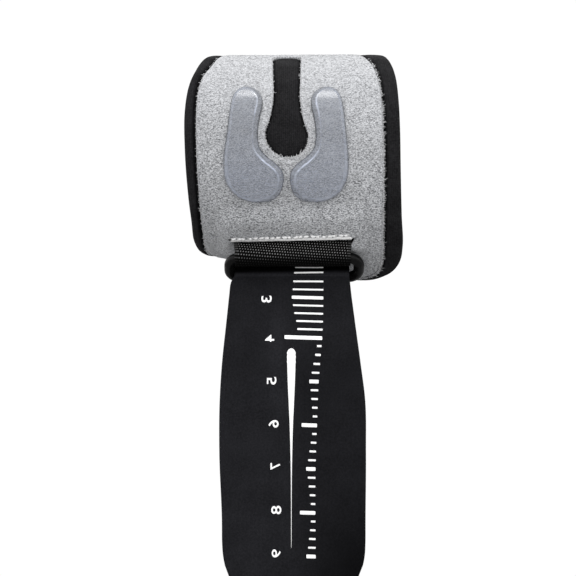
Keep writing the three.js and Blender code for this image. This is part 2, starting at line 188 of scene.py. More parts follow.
# round threads: a ring of points carried along many paths (count, places, 3), ends drawn to a point
def tubes(paths, radius, sides=6, capped=True):
    tangent = unitLength(np.gradient(paths, axis=1))
    guide = np.where(np.abs(tangent[..., :1]) < 0.8, [1.0, 0, 0], [0, 0, 1.0])
    side = unitLength(np.cross(tangent, guide))
    other = np.cross(tangent, side)
    turn = np.linspace(0, 2 * np.pi, sides, endpoint=False)
    size = np.broadcast_to(radius, paths.shape[:2])[..., None, None]
    circle = side[:, :, None] * np.cos(turn)[:, None] + other[:, :, None] * np.sin(turn)[:, None]
    rings = paths[:, :, None] + size * circle
    if capped:
        tips = [np.repeat(paths[:, place, None, None], sides, 2) for place in (0, -1)]
        rings = np.concatenate([tips[0], rings, tips[1]], 1)
    return rings, manyFaces(len(paths), rings.shape[1], sides, closeColumns=True)


def addObject(name, data):
    made = bpy.data.objects.new(name, data)
    bpy.context.collection.objects.link(made)
    return made


# mesh from points in mm and their faces, welded, turned outwards; uv and values of one side serve both
def makePiece(name, points, faces, material, uv=None, values=None):
    points = points.reshape(-1, 3) * mm
    mesh = bpy.data.meshes.new(name)
    mesh.from_pydata(points.tolist(), [], faces.tolist())
    if uv is not None:
        corners = np.resize(uv, (len(points), 2))[faces.ravel()]
        mesh.uv_layers.new(name="clothUv").uv.foreach_set("vector", corners.ravel())
    for key, value in (values or {}).items():
        mesh.attributes.new(key, "FLOAT", "POINT").data.foreach_set("value", np.resize(value, len(points)))
    work = bmesh.new()
    work.from_mesh(mesh)
    bmesh.ops.remove_doubles(work, verts=work.verts, dist=0.002 * mm)
    bmesh.ops.recalc_face_normals(work, faces=work.faces)
    work.to_mesh(mesh)
    work.free()
    mesh.polygons.foreach_set("use_smooth", np.ones(len(mesh.polygons), bool))
    mesh.materials.append(material)
    piece = addObject(name, mesh)
    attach(piece, "root")
    return piece


# faces of all the pieces given, for a stage's print line
def faceCount(*pieces):
    return sum(len(piece.data.polygons) for piece in pieces)


# materials

# a node with its settings made, and its inputs linked or set
def addNode(tree, kind, inputs=None, **settings):
    node = tree.nodes.new(kind)
    for key, value in settings.items():
        setattr(node, key, value)
    for key, value in (inputs or {}).items():
        if isinstance(value, bpy.types.NodeSocket):
            tree.links.new(value, node.inputs[key])
        else:
            node.inputs[key].default_value = value
    return node


def mathNode(tree, operation, a, b=0.0):
    return addNode(tree, "ShaderNodeMath", {0: a, 1: b}, operation=operation).outputs[0]


def plus(tree, a, b):
    return mathNode(tree, "ADD", a, b)


def times(tree, a, b):
    return mathNode(tree, "MULTIPLY", a, b)


def mapRange(tree, value, fromMin, fromMax, toMin, toMax):
    inputs = {"Value": value, "From Min": fromMin, "From Max": fromMax, "To Min": toMin, "To Max": toMax}
    return addNode(tree, "ShaderNodeMapRange", inputs).outputs["Result"]


def mixColour(tree, factor, a, b, blend="MIX"):
    inputs = {0: factor, 6: a, 7: b}
    return addNode(tree, "ShaderNodeMix", inputs, data_type="RGBA", blend_type=blend).outputs[2]


def noiseNode(tree, spot, scale, detail=2.0, roughness=0.5):
    inputs = {"Vector": spot, "Scale": scale, "Detail": detail, "Roughness": roughness}
    return addNode(tree, "ShaderNodeTexNoise", inputs).outputs[0]


# a value that the piece's mesh carries at each point
def pieceValue(tree, name):
    return addNode(tree, "ShaderNodeAttribute", attribute_name=name).outputs["Fac"]


def objectSpot(tree):
    return addNode(tree, "ShaderNodeTexCoord").outputs["Object"]


def stretchedSpot(tree, scale):
    return addNode(tree, "ShaderNodeMapping", {"Vector": objectSpot(tree), "Scale": scale}).outputs[0]


def clothSpot(tree):
    return addNode(tree, "ShaderNodeUVMap", uv_map="clothUv").outputs["UV"]


def heightOf(tree, spot):
    return addNode(tree, "ShaderNodeSeparateXYZ", {0: spot}).outputs["Z"]


def grey(value):
    return (value, value, value, 1.0)


# group with its named sockets; "Vector" is a place, all others are numbers
def newGroup(name, inputs, outputs):
    tree = bpy.data.node_groups.new(name, "ShaderNodeTree")
    for way, sockets in (("INPUT", inputs), ("OUTPUT", outputs)):
        for socket in sockets:
            kind = "NodeSocketVector" if socket == "Vector" else "NodeSocketFloat"
            tree.interface.new_socket(name=socket, in_out=way, socket_type=kind)
    return tree, tree.nodes.new("NodeGroupInput").outputs, tree.nodes.new("NodeGroupOutput").inputs


# fine and coarse noise, as a tone about 1 and a height
def yarnGroup():
    tree, given, result = newGroup("yarnGrain", ["Vector", "Fine", "Coarse", "Depth"], ["Tone", "Height"])
    fine = noiseNode(tree, given["Vector"], given["Fine"], 3.0, 0.6)
    coarse = noiseNode(tree, given["Vector"], given["Coarse"])
    swing = plus(tree, mapRange(tree, fine, 0.25, 0.75, -0.75, 0.75),
                 mapRange(tree, coarse, 0.3, 0.7, -0.3, 0.3))
    tree.links.new(plus(tree, times(tree, swing, given["Depth"]), 1.0), result["Tone"])
    tree.links.new(fine, result["Height"])
    return tree


# rows of small V loops on a UV map in mm: a slanted wave times a rib, both as crests
def knitGroup(lean=1.2, ribPower=0.6):
    tree, given, result = newGroup("knitLoops", ["Vector", "Wale", "Course"], ["Height"])
    spot = addNode(tree, "ShaderNodeSeparateXYZ", {0: given["Vector"]}).outputs
    wale = mathNode(tree, "DIVIDE", spot["X"], given["Wale"])
    course = mathNode(tree, "DIVIDE", spot["Y"], given["Course"])
    slant = plus(tree, course, times(tree, mathNode(tree, "PINGPONG", wale, 0.5), lean))
    loop, rib = (mathNode(tree, "ABSOLUTE", mathNode(tree, "SINE", times(tree, turns, math.pi)))
                 for turns in (slant, wale))
    tree.links.new(times(tree, loop, mathNode(tree, "POWER", rib, ribPower)), result["Height"])
    return tree


yarnGrain, knitLoops = yarnGroup(), knitGroup()


def yarn(tree, spot, fine, coarse, depth):
    inputs = {"Vector": spot, "Fine": fine, "Coarse": coarse, "Depth": depth}
    return addNode(tree, "ShaderNodeGroup", inputs, node_tree=yarnGrain).outputs


def startMaterial(name, sockets):
    material = bpy.data.materials.new(name)
    material.use_nodes = True
    shader = material.node_tree.nodes["Principled BSDF"]
    for key, value in sockets.items():
        shader.inputs[key].default_value = value
    return material, material.node_tree, shader


# links varying values to the shader's own sockets
def feed(tree, shader, values):
    for key, value in values.items():
        tree.links.new(value, shader.inputs[key])


def bumpInto(tree, shader, height, strength, distance):
    bump = addNode(tree, "ShaderNodeBump", {"Strength": strength, "Distance": distance, "Height": height})
    feed(tree, shader, {"Normal": bump.outputs["Normal"]})


# black knitted cloth: loops on the UV map, dull, with lint in the tone; painted shade from a piece value
# darkens it toward black:
# a painted shadow where the strap runs under the ring, painted light and shade on the hanging strap
def knitMaterial(name, dark, light, wale, course, roughness, lint):
    material, tree, shader = startMaterial(name, {"Specular IOR Level": 0.03})
    inputs = {"Vector": clothSpot(tree), "Wale": wale, "Course": course}
    loops = addNode(tree, "ShaderNodeGroup", inputs, node_tree=knitLoops).outputs["Height"]
    grain = yarn(tree, objectSpot(tree), 2600.0, 160.0, lint)
    cloth = mixColour(tree, times(tree, mapRange(tree, loops, 0, 1, 0.35, 0.8), grain["Tone"]), dark, light)
    dullness = mapRange(tree, grain["Tone"], 0.6, 1.4, roughness + 0.08, roughness - 0.08)
    # painted shade: a piece value mixes the cloth toward black
    feed(tree, shader, {"Base Color": mixColour(tree, pieceValue(tree, "paintedShade"), cloth, grey(0.0002)),
                        "Roughness": dullness})
    bumpInto(tree, shader, plus(tree, loops, times(tree, grain["Height"], 0.6)), 0.45, 0.12 * mm)
    return material


bandBlack = knitMaterial("bandBlack", dark=(0.003, 0.0029, 0.0031, 1), light=(0.0242, 0.0238, 0.0256, 1),
                         wale=0.46, course=0.4, roughness=0.85, lint=0.95)
strapBlack = knitMaterial("strapBlack", dark=(0.0057, 0.0057, 0.0066, 1), light=(0.0285, 0.0288, 0.0335, 1),
                          wale=0.3, course=0.26, roughness=0.7, lint=0.6)

# spans are from low, from high, to low, to high
pileLook = {
    "sockets": {"Sheen Weight": 0.25, "Sheen Roughness": 0.6, "Roughness": 0.92, "Specular IOR Level": 0.15},
    "stretch": (0.54, 1.0, 1.16), "loops": 5000.0, "loose": 0.4, "crown": (0.15, 0.95, 0.75, -0.25),
    "noise": (0.6, 1.4, -0.57, -0.43), "calm": (-0.022, 0.022, 1.55, 0.75),
}


# grey loop pile: a random tone for each loop, its crown and noise, calmer toward the top;
# on loose fibres "shade", the tone of each one, takes the place of the loops
def pileMaterial(name, low, high, fibre):
    look = pileLook
    material, tree, shader = startMaterial(name, look["sockets"])
    spot = stretchedSpot(tree, look["stretch"])
    grain = yarn(tree, spot, 4200.0, 420.0, 0.5)
    if fibre:
        fleck = pieceValue(tree, "shade")
    else:
        curl = addNode(tree, "ShaderNodeTexVoronoi", {"Vector": spot, "Scale": look["loops"]}).outputs
        loose = addNode(tree, "ShaderNodeSeparateColor", {0: curl["Color"]}).outputs[0]
        crown = mapRange(tree, curl["Distance"], *look["crown"])
        fleck = plus(tree, times(tree, loose, look["loose"]), crown)
        height = plus(tree, grain["Height"], times(tree, curl["Distance"], -0.5))
        bumpInto(tree, shader, height, 0.45, 0.25 * mm)
    swing = plus(tree, mapRange(tree, grain["Tone"], *look["noise"]), fleck)
    calm = mapRange(tree, heightOf(tree, objectSpot(tree)), *look["calm"])
    feed(tree, shader, {"Base Color": mixColour(tree, plus(tree, times(tree, swing, calm), 0.5), low, high)})
    return material


pileGrey = pileMaterial("pileGrey", (0.135, 0.139, 0.148, 1), (0.69, 0.7, 0.725, 1), False)
fibreGrey = pileMaterial("fibreGrey", (0.19, 0.195, 0.205, 1), (0.77, 0.775, 0.79, 1), True)

gelLook = {
    "sockets": {"Coat Weight": 1.0, "Coat Roughness": 0.16, "Coat IOR": 1.55, "Roughness": 0.35,
                "Specular IOR Level": 0.5},
    # dark and pale ends of the tint: the dark end shows in the painted outline, the pale one in the painted
    # highlights
    "stretch": (0.38, 1.0, 1.5), "dark": (0.02, 0.024, 0.03, 1), "pale": (0.625, 0.685, 0.835, 1),
}


# clear bluish gel: the pile shows through; "tint" is its tone, carrying painted highlights and painted shade,
# and "cover" how much it hides
def gelMaterial(name):
    look = gelLook
    material, tree, shader = startMaterial(name, look["sockets"])
    cloth = yarn(tree, stretchedSpot(tree, look["stretch"]), 2400.0, 300.0, 0.42)
    depth = mixColour(tree, pieceValue(tree, "tint"), look["dark"], look["pale"])
    feed(tree, shader, {"Base Color": mixColour(tree, 1.0, depth, cloth["Tone"], "MULTIPLY"),
                        "Alpha": pieceValue(tree, "cover")})
    bumpInto(tree, shader, noiseNode(tree, objectSpot(tree), 180.0), 0.05, 0.4 * mm)
    return material


gelClear = gelMaterial("gelClear")

# floats of the webbing lie on a slanted lattice: waves per mm, across and down, of the slant, the row and
# the first less the second; spans are from low, from high, to low, to high
webbingLook = {
    "ways": ((1.63, -0.37), (0.087, -1.755), (1.543, 1.385)),
    "floats": (1.35, 2.75, 0.0, 1.0), "ribs": (0.0, 1.0, 0.0, 0.3), "gloss": (0.0, 1.0, 0.8, 0.4),
    # the light tone of floats and ribs stands for painted glints
    "dark": 0.001, "light": 0.34,
}


# woven webbing on a UV map in mm: light floats where the waves crest and ribs on the "selvedge",
# both painted glints in the colour; painted shade darkens it round the ring's bar
def webbingMaterial(name):
    look = webbingLook
    material, tree, shader = startMaterial(name, {"Specular IOR Level": 0.04})
    spot = clothSpot(tree)

    def wave(way):
        turns = addNode(tree, "ShaderNodeVectorMath", {0: spot, 1: (*way, 0.0)}, operation="DOT_PRODUCT")
        return mathNode(tree, "COSINE", times(tree, turns.outputs["Value"], 2 * math.pi))

    slant, row, cross = (wave(way) for way in look["ways"])
    edge, paintedShade = pieceValue(tree, "selvedge"), pieceValue(tree, "paintedShade")
    # painted glints: the floats, and below them the selvedge ribs, are light in colour
    dots = mapRange(tree, plus(tree, plus(tree, slant, row), cross), *look["floats"])
    dots = times(tree, dots, mathNode(tree, "SUBTRACT", 1.0, edge))
    ribs = times(tree, mapRange(tree, row, *look["ribs"]), edge)
    # painted shade: floats and ribs fade to dark round the bar
    weave = times(tree, plus(tree, dots, ribs), mathNode(tree, "SUBTRACT", 1.0, paintedShade))
    grain = yarn(tree, objectSpot(tree), 1500.0, 260.0, 0.55)
    share = times(tree, weave, grain["Tone"])
    feed(tree, shader, {"Base Color": mixColour(tree, share, grey(look["dark"]), grey(look["light"])),
                        "Roughness": mapRange(tree, weave, *look["gloss"])})
    bumpInto(tree, shader, grain["Height"], 0.3, 0.1 * mm)
    return material


webbingBlack = webbingMaterial("webbingBlack")

plainLooks = {  # low and high tone, roughness, scale of the grain, bump, further sockets
    "ringBlack": (0.0018, 0.004, 0.24, 1300.0, 0.1, {"Specular IOR Level": 0.14}),
    # painted light: the white ink also glows a little
    "scaleWhiteGlow": (0.92, 0.99, 0.6, 2600.0, 0.2,
                   {"Specular IOR Level": 0.3, "Emission Color": grey(1.0), "Emission Strength": 0.1}),
    "threadPale": (0.82, 0.98, 0.8, 4000.0, 0.3, {"Sheen Weight": 0.3}),
    "threadBlack": (0.012, 0.045, 0.5, 4000.0, 0.4, {"Sheen Weight": 0.1}),
    "hookBlack": (0.01, 0.024, 0.45, 2400.0, 0.3, {"Specular IOR Level": 0.5}),
}


# moulded or twisted small parts in black or white: speckled tone, uneven roughness
def plainMaterial(name, low, high, roughness, fine, bump, sockets):
    material, tree, shader = startMaterial(name, sockets)
    grain = yarn(tree, objectSpot(tree), fine, 220.0, 0.5)
    share = mapRange(tree, grain["Tone"], 0.6, 1.4, 0.0, 1.0)
    feed(tree, shader, {"Base Color": mixColour(tree, share, grey(low), grey(high)),
                        "Roughness": mapRange(tree, share, 0.0, 1.0, roughness + 0.07, roughness - 0.07)})
    bumpInto(tree, shader, grain["Height"], bump, 0.08 * mm)
    return material


plain = {name: plainMaterial(name, *look) for name, look in plainLooks.items()}
print("materials:", len(bpy.data.materials))

# loop panel
pilePanel = {
    "edges": [  # along, left, right
        (-50, -8.0, 2.6), (-49, -12.0, 5.6), (-46, -16.4, 8.9), (-41, -19.3, 12.9), (-36, -20.2, 16.6),
        (-31, -20.6, 19.4), (-26, -20.8, 20.3), (-15, -21.4, 20.5), (0, -22.2, 20.6), (8, -22.3, 20.5),
        (15, -21.9, 20.3), (20, -21.0, 19.9), (26, -19.1, 19.0), (33, -17.8, 17.4), (40, -16.3, 15.6),
        (48, -13.2, 12.9), (54, -9.2, 9.6), (57, -5.6, 6.2), (58.5, -2.2, 2.9),
    ],
    "keyholeAxis": -1.55, "bulbAlong": 4.85, "bulbRadius": 4.95, "neckAlong": 6.2, "topAlong": 37.6,
    "stem": [(6.2, 4.76), (7.6, 4.26), (9.4, 3.77), (11.5, 3.38), (14, 3.1), (21, 3.12), (29, 3.26),
             (37, 3.3)],
    "topCaps": (6.5, 2.6), "capPower": 2.6, "slitHeight": -18.65, "slitRise": 0.02, "slitDrop": 5.0,
    "slitLeft": -14.4, "slitRight": 14.2, "slitEnds": 8, "bentFrom": -44, "bentUntil": -3,
    "liftHeight": 1.2, "liftUp": 8.5, "liftSide": 4.0, "liftDown": 3.4, "liftLevel": 0.5,
    "rimRound": 0.55, "spacing": 0.5, "endSpacing": 0.4, "columns": 42,
    "uneven": 0.02, "unevenLength": (1.4, 5.0), "unevenFade": 1.5, "unevenSeed": 11,
}
panelStart, panelEnd = pilePanel["edges"][0][0], pilePanel["edges"][-1][0]


def panelLeft(along):
    return smoothColumn(pilePanel["edges"], 1, along)


def panelRight(along):
    return smoothColumn(pilePanel["edges"], 2, along)


# half width of the keyhole: a circle below the neck, the stem's table above it, and a top that is
# rounded more on the left
def keyholeHalf(along, side):
    p = pilePanel
    bulb = np.sqrt(np.maximum(p["bulbRadius"] ** 2 - (along - p["bulbAlong"]) ** 2, 0))
    half = np.where(along < p["neckAlong"], bulb, smoothColumn(p["stem"], 1, along))
    cap = np.where(np.asarray(side) < 0, *p["topCaps"])
    return half * roundOff(p["topAlong"] - along, cap, p["capPower"])


# the slit rises a little to the right
def slitLevel(x):
    return pilePanel["slitHeight"] + pilePanel["slitRise"] * x


# the panel stands up over the webbing's tail: full lift at the slit, fading up, down and to the sides
def panelLift(along, x):
    p = pilePanel
    height = formPoint(along, x, panelOutside)[..., 2] - slitLevel(x)
    rise = np.where(height > 0, height / p["liftUp"], -height / p["liftDown"])
    beside = np.maximum(np.maximum(p["slitLeft"] - x, x - p["slitRight"]), 0) / p["liftSide"]
    return p["liftHeight"] * (1 - smoothStep(rise, p["liftLevel"], 1)) * (1 - smoothStep(beside, 0.1, 1))


# the slit's upper lip, on the lifted face
def slitAlong(x):
    return alongAtHeight(slitLevel(x), x, panelOutside + pilePanel["liftHeight"])


# opening of the slit below its lip, a flat slot with round ends
def slitOpening(x):
    p = pilePanel
    middle, half = (p["slitLeft"] + p["slitRight"]) / 2, (p["slitRight"] - p["slitLeft"]) / 2
    return p["slitDrop"] * np.clip(1 - np.abs((x - middle) / half) ** p["slitEnds"], 0, 1)


rimSteps = np.array([0, 0.02, 0.08, 0.18, 0.32, 0.55, 0.85])


# distances across a strip of given widths, with lines crowded at both of its edges
def crowdedAcross(width, count):
    near = rimSteps * np.minimum(1, width / 4)
    inner = near[:, -1:] + (width - 2 * near[:, -1:]) * np.linspace(0, 1, count)[1:-1]
    return np.concatenate([near, inner, width - near[:, ::-1]], 1)


# rows of one half: along bends to the slit's lip at one end and is plain at the other
def panelHalf(rows, lipShift, fadeEnd, side):
    rows = rows[:, None]
    fade = 1 - smoothStep(np.abs(rows - rows[0]), 0, abs(fadeEnd - rows[0, 0]))
    outerEdge = panelLeft if side < 0 else panelRight
    inner = pilePanel["keyholeAxis"] + side * keyholeHalf(rows, side)
    along = rows
    for _ in range(6):  # the edge and the bent rows depend on each other
        outer = outerEdge(rows + lipShift(outerEdge(along)) * fade)
        x = outer - side * crowdedAcross(np.abs(outer - inner), pilePanel["columns"])
        along = rows + lipShift(x[:, :1]) * fade
    return np.stack([x, rows + lipShift(x) * fade], -1)


# rows from start to end, crowded at the start
def ladder(start, end, spacing):
    sign = np.sign(end - start)
    count = max(int(abs(end - start) / spacing), 2)
    return np.concatenate([start + sign * rimSteps, np.linspace(start + sign * rimSteps[-1], end, count)[1:]])


# four patches round the keyhole and the slit; thickness = a round-off by the distance to the nearest rim
def makePanel():
    p = pilePanel
    lip = float(slitAlong(np.array(0.0)))
    bulbTurn = np.linspace(0, math.acos((p["bulbAlong"] - p["neckAlong"]) / p["bulbRadius"]), 22)
    bulbRows = p["bulbAlong"] - p["bulbRadius"] * np.cos(bulbTurn)
    bottom, top, cap = bulbRows[0], p["topAlong"], max(p["topCaps"])
    capShares = np.array([0.9, 0.8, 0.7, 0.6, 0.5, 0.4, 0.3, 0.2, 0.13, 0.08, 0.045, 0.02, 0.006, 0])
    capRows = top - cap * capShares
    upper = np.concatenate([ladder(lip, bottom - 0.3, p["spacing"]), bulbRows,
                            np.linspace(p["neckAlong"], top - cap, 54)[1:], capRows, [top + 0.02],
                            ladder(panelEnd, top + 0.3, p["spacing"])[::-1]])
    lower = np.concatenate([ladder(lip - p["slitDrop"], p["bentFrom"], p["spacing"]),
                            ladder(panelStart, p["bentFrom"], p["endSpacing"])[::-1][1:]])
    shiftUp = lambda x: slitAlong(x) - lip
    shiftDown = lambda x: slitAlong(x) - slitOpening(x) - lip + p["slitDrop"]
    uppers = [panelHalf(upper, shiftUp, p["bentUntil"], side) for side in (-1, 1)]
    lowers = [panelHalf(lower, shiftDown, p["bentFrom"], side) for side in (-1, 1)]
    starts, ends = [], []

    def addRim(line, keep):
        starts.append(line[:-1][keep])
        ends.append(line[1:][keep])

    for flat in uppers + lowers:
        addRim(flat[:, 0], slice(None))
        addRim(flat[-1], slice(None))
        lipOpen = slitOpening(flat[0, :, 0]) > 0
        addRim(flat[0], lipOpen[:-1] | lipOpen[1:])
    for flat in uppers:
        hole = (flat[:, -1, 1] > bottom - 1e-6) & (flat[:, -1, 1] < top + 1e-6)
        addRim(flat[:, -1], hole[:-1] & hole[1:])
    starts, ends = np.concatenate(starts), np.concatenate(ends)
    points, faces, uv = [], [], []
    count = 0
    for flat in uppers + lowers:
        x, along = flat[..., 0], flat[..., 1]
        distance = distanceTo(flat, starts, ends)
        half = wrist["panelWall"] / 2 * roundOff(distance, p["rimRound"])
        wave = p["uneven"] * unevenness(x, along, *p["unevenLength"], p["unevenSeed"])
        wave = wave * smoothStep(distance, 0, p["unevenFade"])
        middle = panelInside + wrist["panelWall"] / 2 + panelLift(along, x)
        for offset in (middle + half + wave, middle - half):
            points.append(formPoint(along, x, offset).reshape(-1, 3))
            faces.append(gridFaces(*x.shape) + count)
            uv.append(flat.reshape(-1, 2))
            count += x.size
    points, faces, uv = (np.concatenate(rows) for rows in (points, faces, uv))
    piece = makePiece("pile_panel", points, faces, pileGrey, uv)
    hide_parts("loop_panel")
    return piece


panelPiece = makePanel()
print("panel:", faceCount(panelPiece), "faces")

# base band
bandCloth = {
    "edges": [  # along, left, right
        (-54, -9.0, 4.0), (-53, -13.5, 7.6), (-50, -18.6, 11.6), (-46, -21.2, 14.7), (-40, -22.5, 18.4),
        (-34, -23.1, 21.6), (-30, -23.4, 23.6), (-26, -23.5, 24.8), (-21, -23.6, 25.2), (-12, -24.2, 24.8),
        (0, -24.9, 24.5), (9, -25.0, 24.4), (17, -24.3, 24.2), (26, -22.7, 23.7), (34, -21.5, 22.8),
        (44, -20.3, 21.5), (58, -18.2, 19.0), (74, -17.2, 17.3), (104, -17.0, 17.0),
    ],
    "raise": 1.25, "clear": 0.35, "slope": 0.65, "lowEnd": -50, "lowFull": -44, "highFull": 50, "highEnd": 86,
    "rimRound": 1.3, "crest": 0.14, "endRound": 1.3,
}


# one closed profile per row: round rim, crest, slope to the bed, bed, and back along the skin side
def makeBand():
    b = bandCloth
    first, last = b["edges"][0][0], b["edges"][-1][0]
    ends = b["endRound"] * (1 - np.cos(np.linspace(0, np.pi / 2, 9)))
    between = np.linspace(first + 2, last - 2, 190)
    along = np.concatenate([first + ends, between, (last - ends)[::-1]])[:, None]
    left, right = smoothColumn(b["edges"], 1, along), smoothColumn(b["edges"], 2, along)
    covered = np.clip(along, panelStart, panelEnd)
    high = 1 - smoothStep(along, b["highFull"], b["highEnd"])
    rim = wrist["baseWall"] + b["raise"] * smoothStep(along, b["lowEnd"], b["lowFull"]) * high
    bed = wrist["baseWall"] + b["raise"] * high * smoothStep(along, panelEnd + 0.3, panelEnd + 4)
    turn = np.linspace(-np.pi / 2, np.pi / 2, 13)
    share = np.linspace(0, 1, 7)

    def border(edge, inside, sign):
        size = np.minimum(b["rimRound"], 0.45 * np.abs(inside - edge))
        foot = inside - sign * b["clear"]
        shoulder = foot - sign * b["slope"]
        roll = edge + sign * size * (1 - np.cos(turn))
        flat = edge + sign * size + (shoulder - edge - sign * size) * share
        fall = shoulder + (foot - shoulder) * share
        crest = rim + b["crest"] * 4 * share[1:] * (1 - share[1:])
        slope = rim + (bed - rim) * smoothStep(share[1:], 0, 1)
        return (np.concatenate([roll, flat[:, 1:], fall[:, 1:]], 1),
                np.concatenate([rim / 2 * (1 + np.sin(turn)), crest, slope], 1))

    leftX, leftOffset = border(left, panelLeft(covered), 1)
    rightX, rightOffset = border(right, panelRight(covered), -1)
    bedX = leftX[:, -1:] + (rightX[:, -1:] - leftX[:, -1:]) * np.linspace(0, 1, 26)[1:-1]
    rolled = len(turn)
    skinX = np.concatenate([leftX[:, rolled:], bedX, rightX[:, :rolled - 1:-1]], 1)[:, ::-1]
    x = np.concatenate([leftX, bedX, rightX[:, ::-1], skinX], 1)
    offset = np.concatenate([leftOffset, np.broadcast_to(bed, bedX.shape), rightOffset[:, ::-1],
                             np.zeros(skinX.shape)], 1)
    closing = roundOff(np.minimum(along - first, last - along), b["endRound"])
    offset = rim / 2 + (offset - rim / 2) * closing
    steps = np.hypot(np.diff(x, axis=1, prepend=x[:, :1]), np.diff(offset, axis=1, prepend=offset[:, :1]))
    uv = np.stack(np.broadcast_arrays(np.cumsum(steps, 1), along), -1)
    faces = gridFaces(*x.shape, closeColumns=True)
    piece = makePiece("band_cloth", formPoint(along, x, offset), faces, bandBlack, uv)
    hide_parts("base_band")
    return piece


bandPiece = makeBand()
print("band:", faceCount(bandPiece), "faces")

# stretch base that swells into the keyhole
keyholeBase = {"inset": 0.1, "foot": 2.5, "swell": 0.98, "rimRound": 1.1}


# rows crowded toward both ends; rise = quarter-round from the patch's outline inward
def makeKeyholeBase():
    k, p = keyholeBase, pilePanel
    bottom, top = p["bulbAlong"] - p["bulbRadius"] + k["inset"], p["topAlong"] - k["inset"]
    along = bottom + (top - bottom) * (1 - np.cos(np.linspace(0, np.pi, 130)[:, None])) / 2
    share = np.sin(np.linspace(-np.pi / 2, np.pi / 2, 31))
    half = np.maximum(keyholeHalf(along, share) - k["inset"], 0)
    half[[0, -1]] = 0
    x = p["keyholeAxis"] + half * share
    flat = np.stack(np.broadcast_arrays(x, along), -1)
    outline = np.concatenate([flat[:, 0], flat[::-1, -1]])
    rise = k["swell"] * roundOff(distanceTo(flat, outline[:-1], outline[1:]), k["rimRound"])
    points, faces = bothSides(formPoint(along, x, k["foot"] + rise), formPoint(along, x, k["foot"]))
    piece = makePiece("keyhole_base", points, faces, bandBlack, flat)
    return piece


keyholePiece = makeKeyholeBase()
print("keyhole base:", faceCount(keyholePiece), "faces")

# pile fibres: small arched spindles on the panel's face and hairs over its cut edges
pileFibres = {
    "seed": 5, "bend": 0.5, "shape": (0, 1.0, 0.9, 0), "faceCount": 13000, "faceAcross": (-22.4, 20.7),
    "faceLength": (0.25, 0.65), "faceShade": (2.2, 1.8), "hairShade": 0.65,
    "faceWidth": (0.05, 0.11), "faceArch": (0.05, 0.16), "sunk": 0.04, "clear": 0.7, "holeClear": 0.5,
    "combedFrom": 8, "combedTurn": 0.5, "hairTop": 34, "hairBottom": -40, "hairThinning": 0.65,
    "hairRoot": 0.25, "hairWidth": (0.06, 0.13), "hairArch": (0.0, 0.2), "hairTurn": 0.55,
    "hairs": {  # count, least length, shape and scale of what is added, offset of the root and the tip
        "right": (860, 0.35, 2.0, 0.14, 3.9, 4.15), "left": (330, 0.25, 1.0, 0.14, 3.9, 4.05),
        "stem": (280, 0.25, 2.0, 0.1, 3.85, 3.8), "bulb": (280, 0.25, 2.0, 0.1, 3.85, 3.8),
        "slit": (160, 0.25, 2.0, 0.08, 3.9, 3.85),
    },
}


# fibre = a path of four places in (x, along, offset) that turns and arches, thick between two points
def fibreBodies(x, along, offset, heading, length, width, arch, bend):
    share = np.linspace(0, 1, 4)
    turn = heading[:, None] + bend[:, None] * share
    pathX = x[:, None] + length[:, None] * share * np.cos(turn)
    pathAlong = along[:, None] + length[:, None] * share * np.sin(turn)
    pathOffset = offset + arch[:, None] * np.sin(np.pi * share * 0.85)
    radius = width[:, None] / 2 * np.array(pileFibres["shape"])
    return tubes(formPoint(pathAlong, pathX, pathOffset), radius, 3, False)[0]


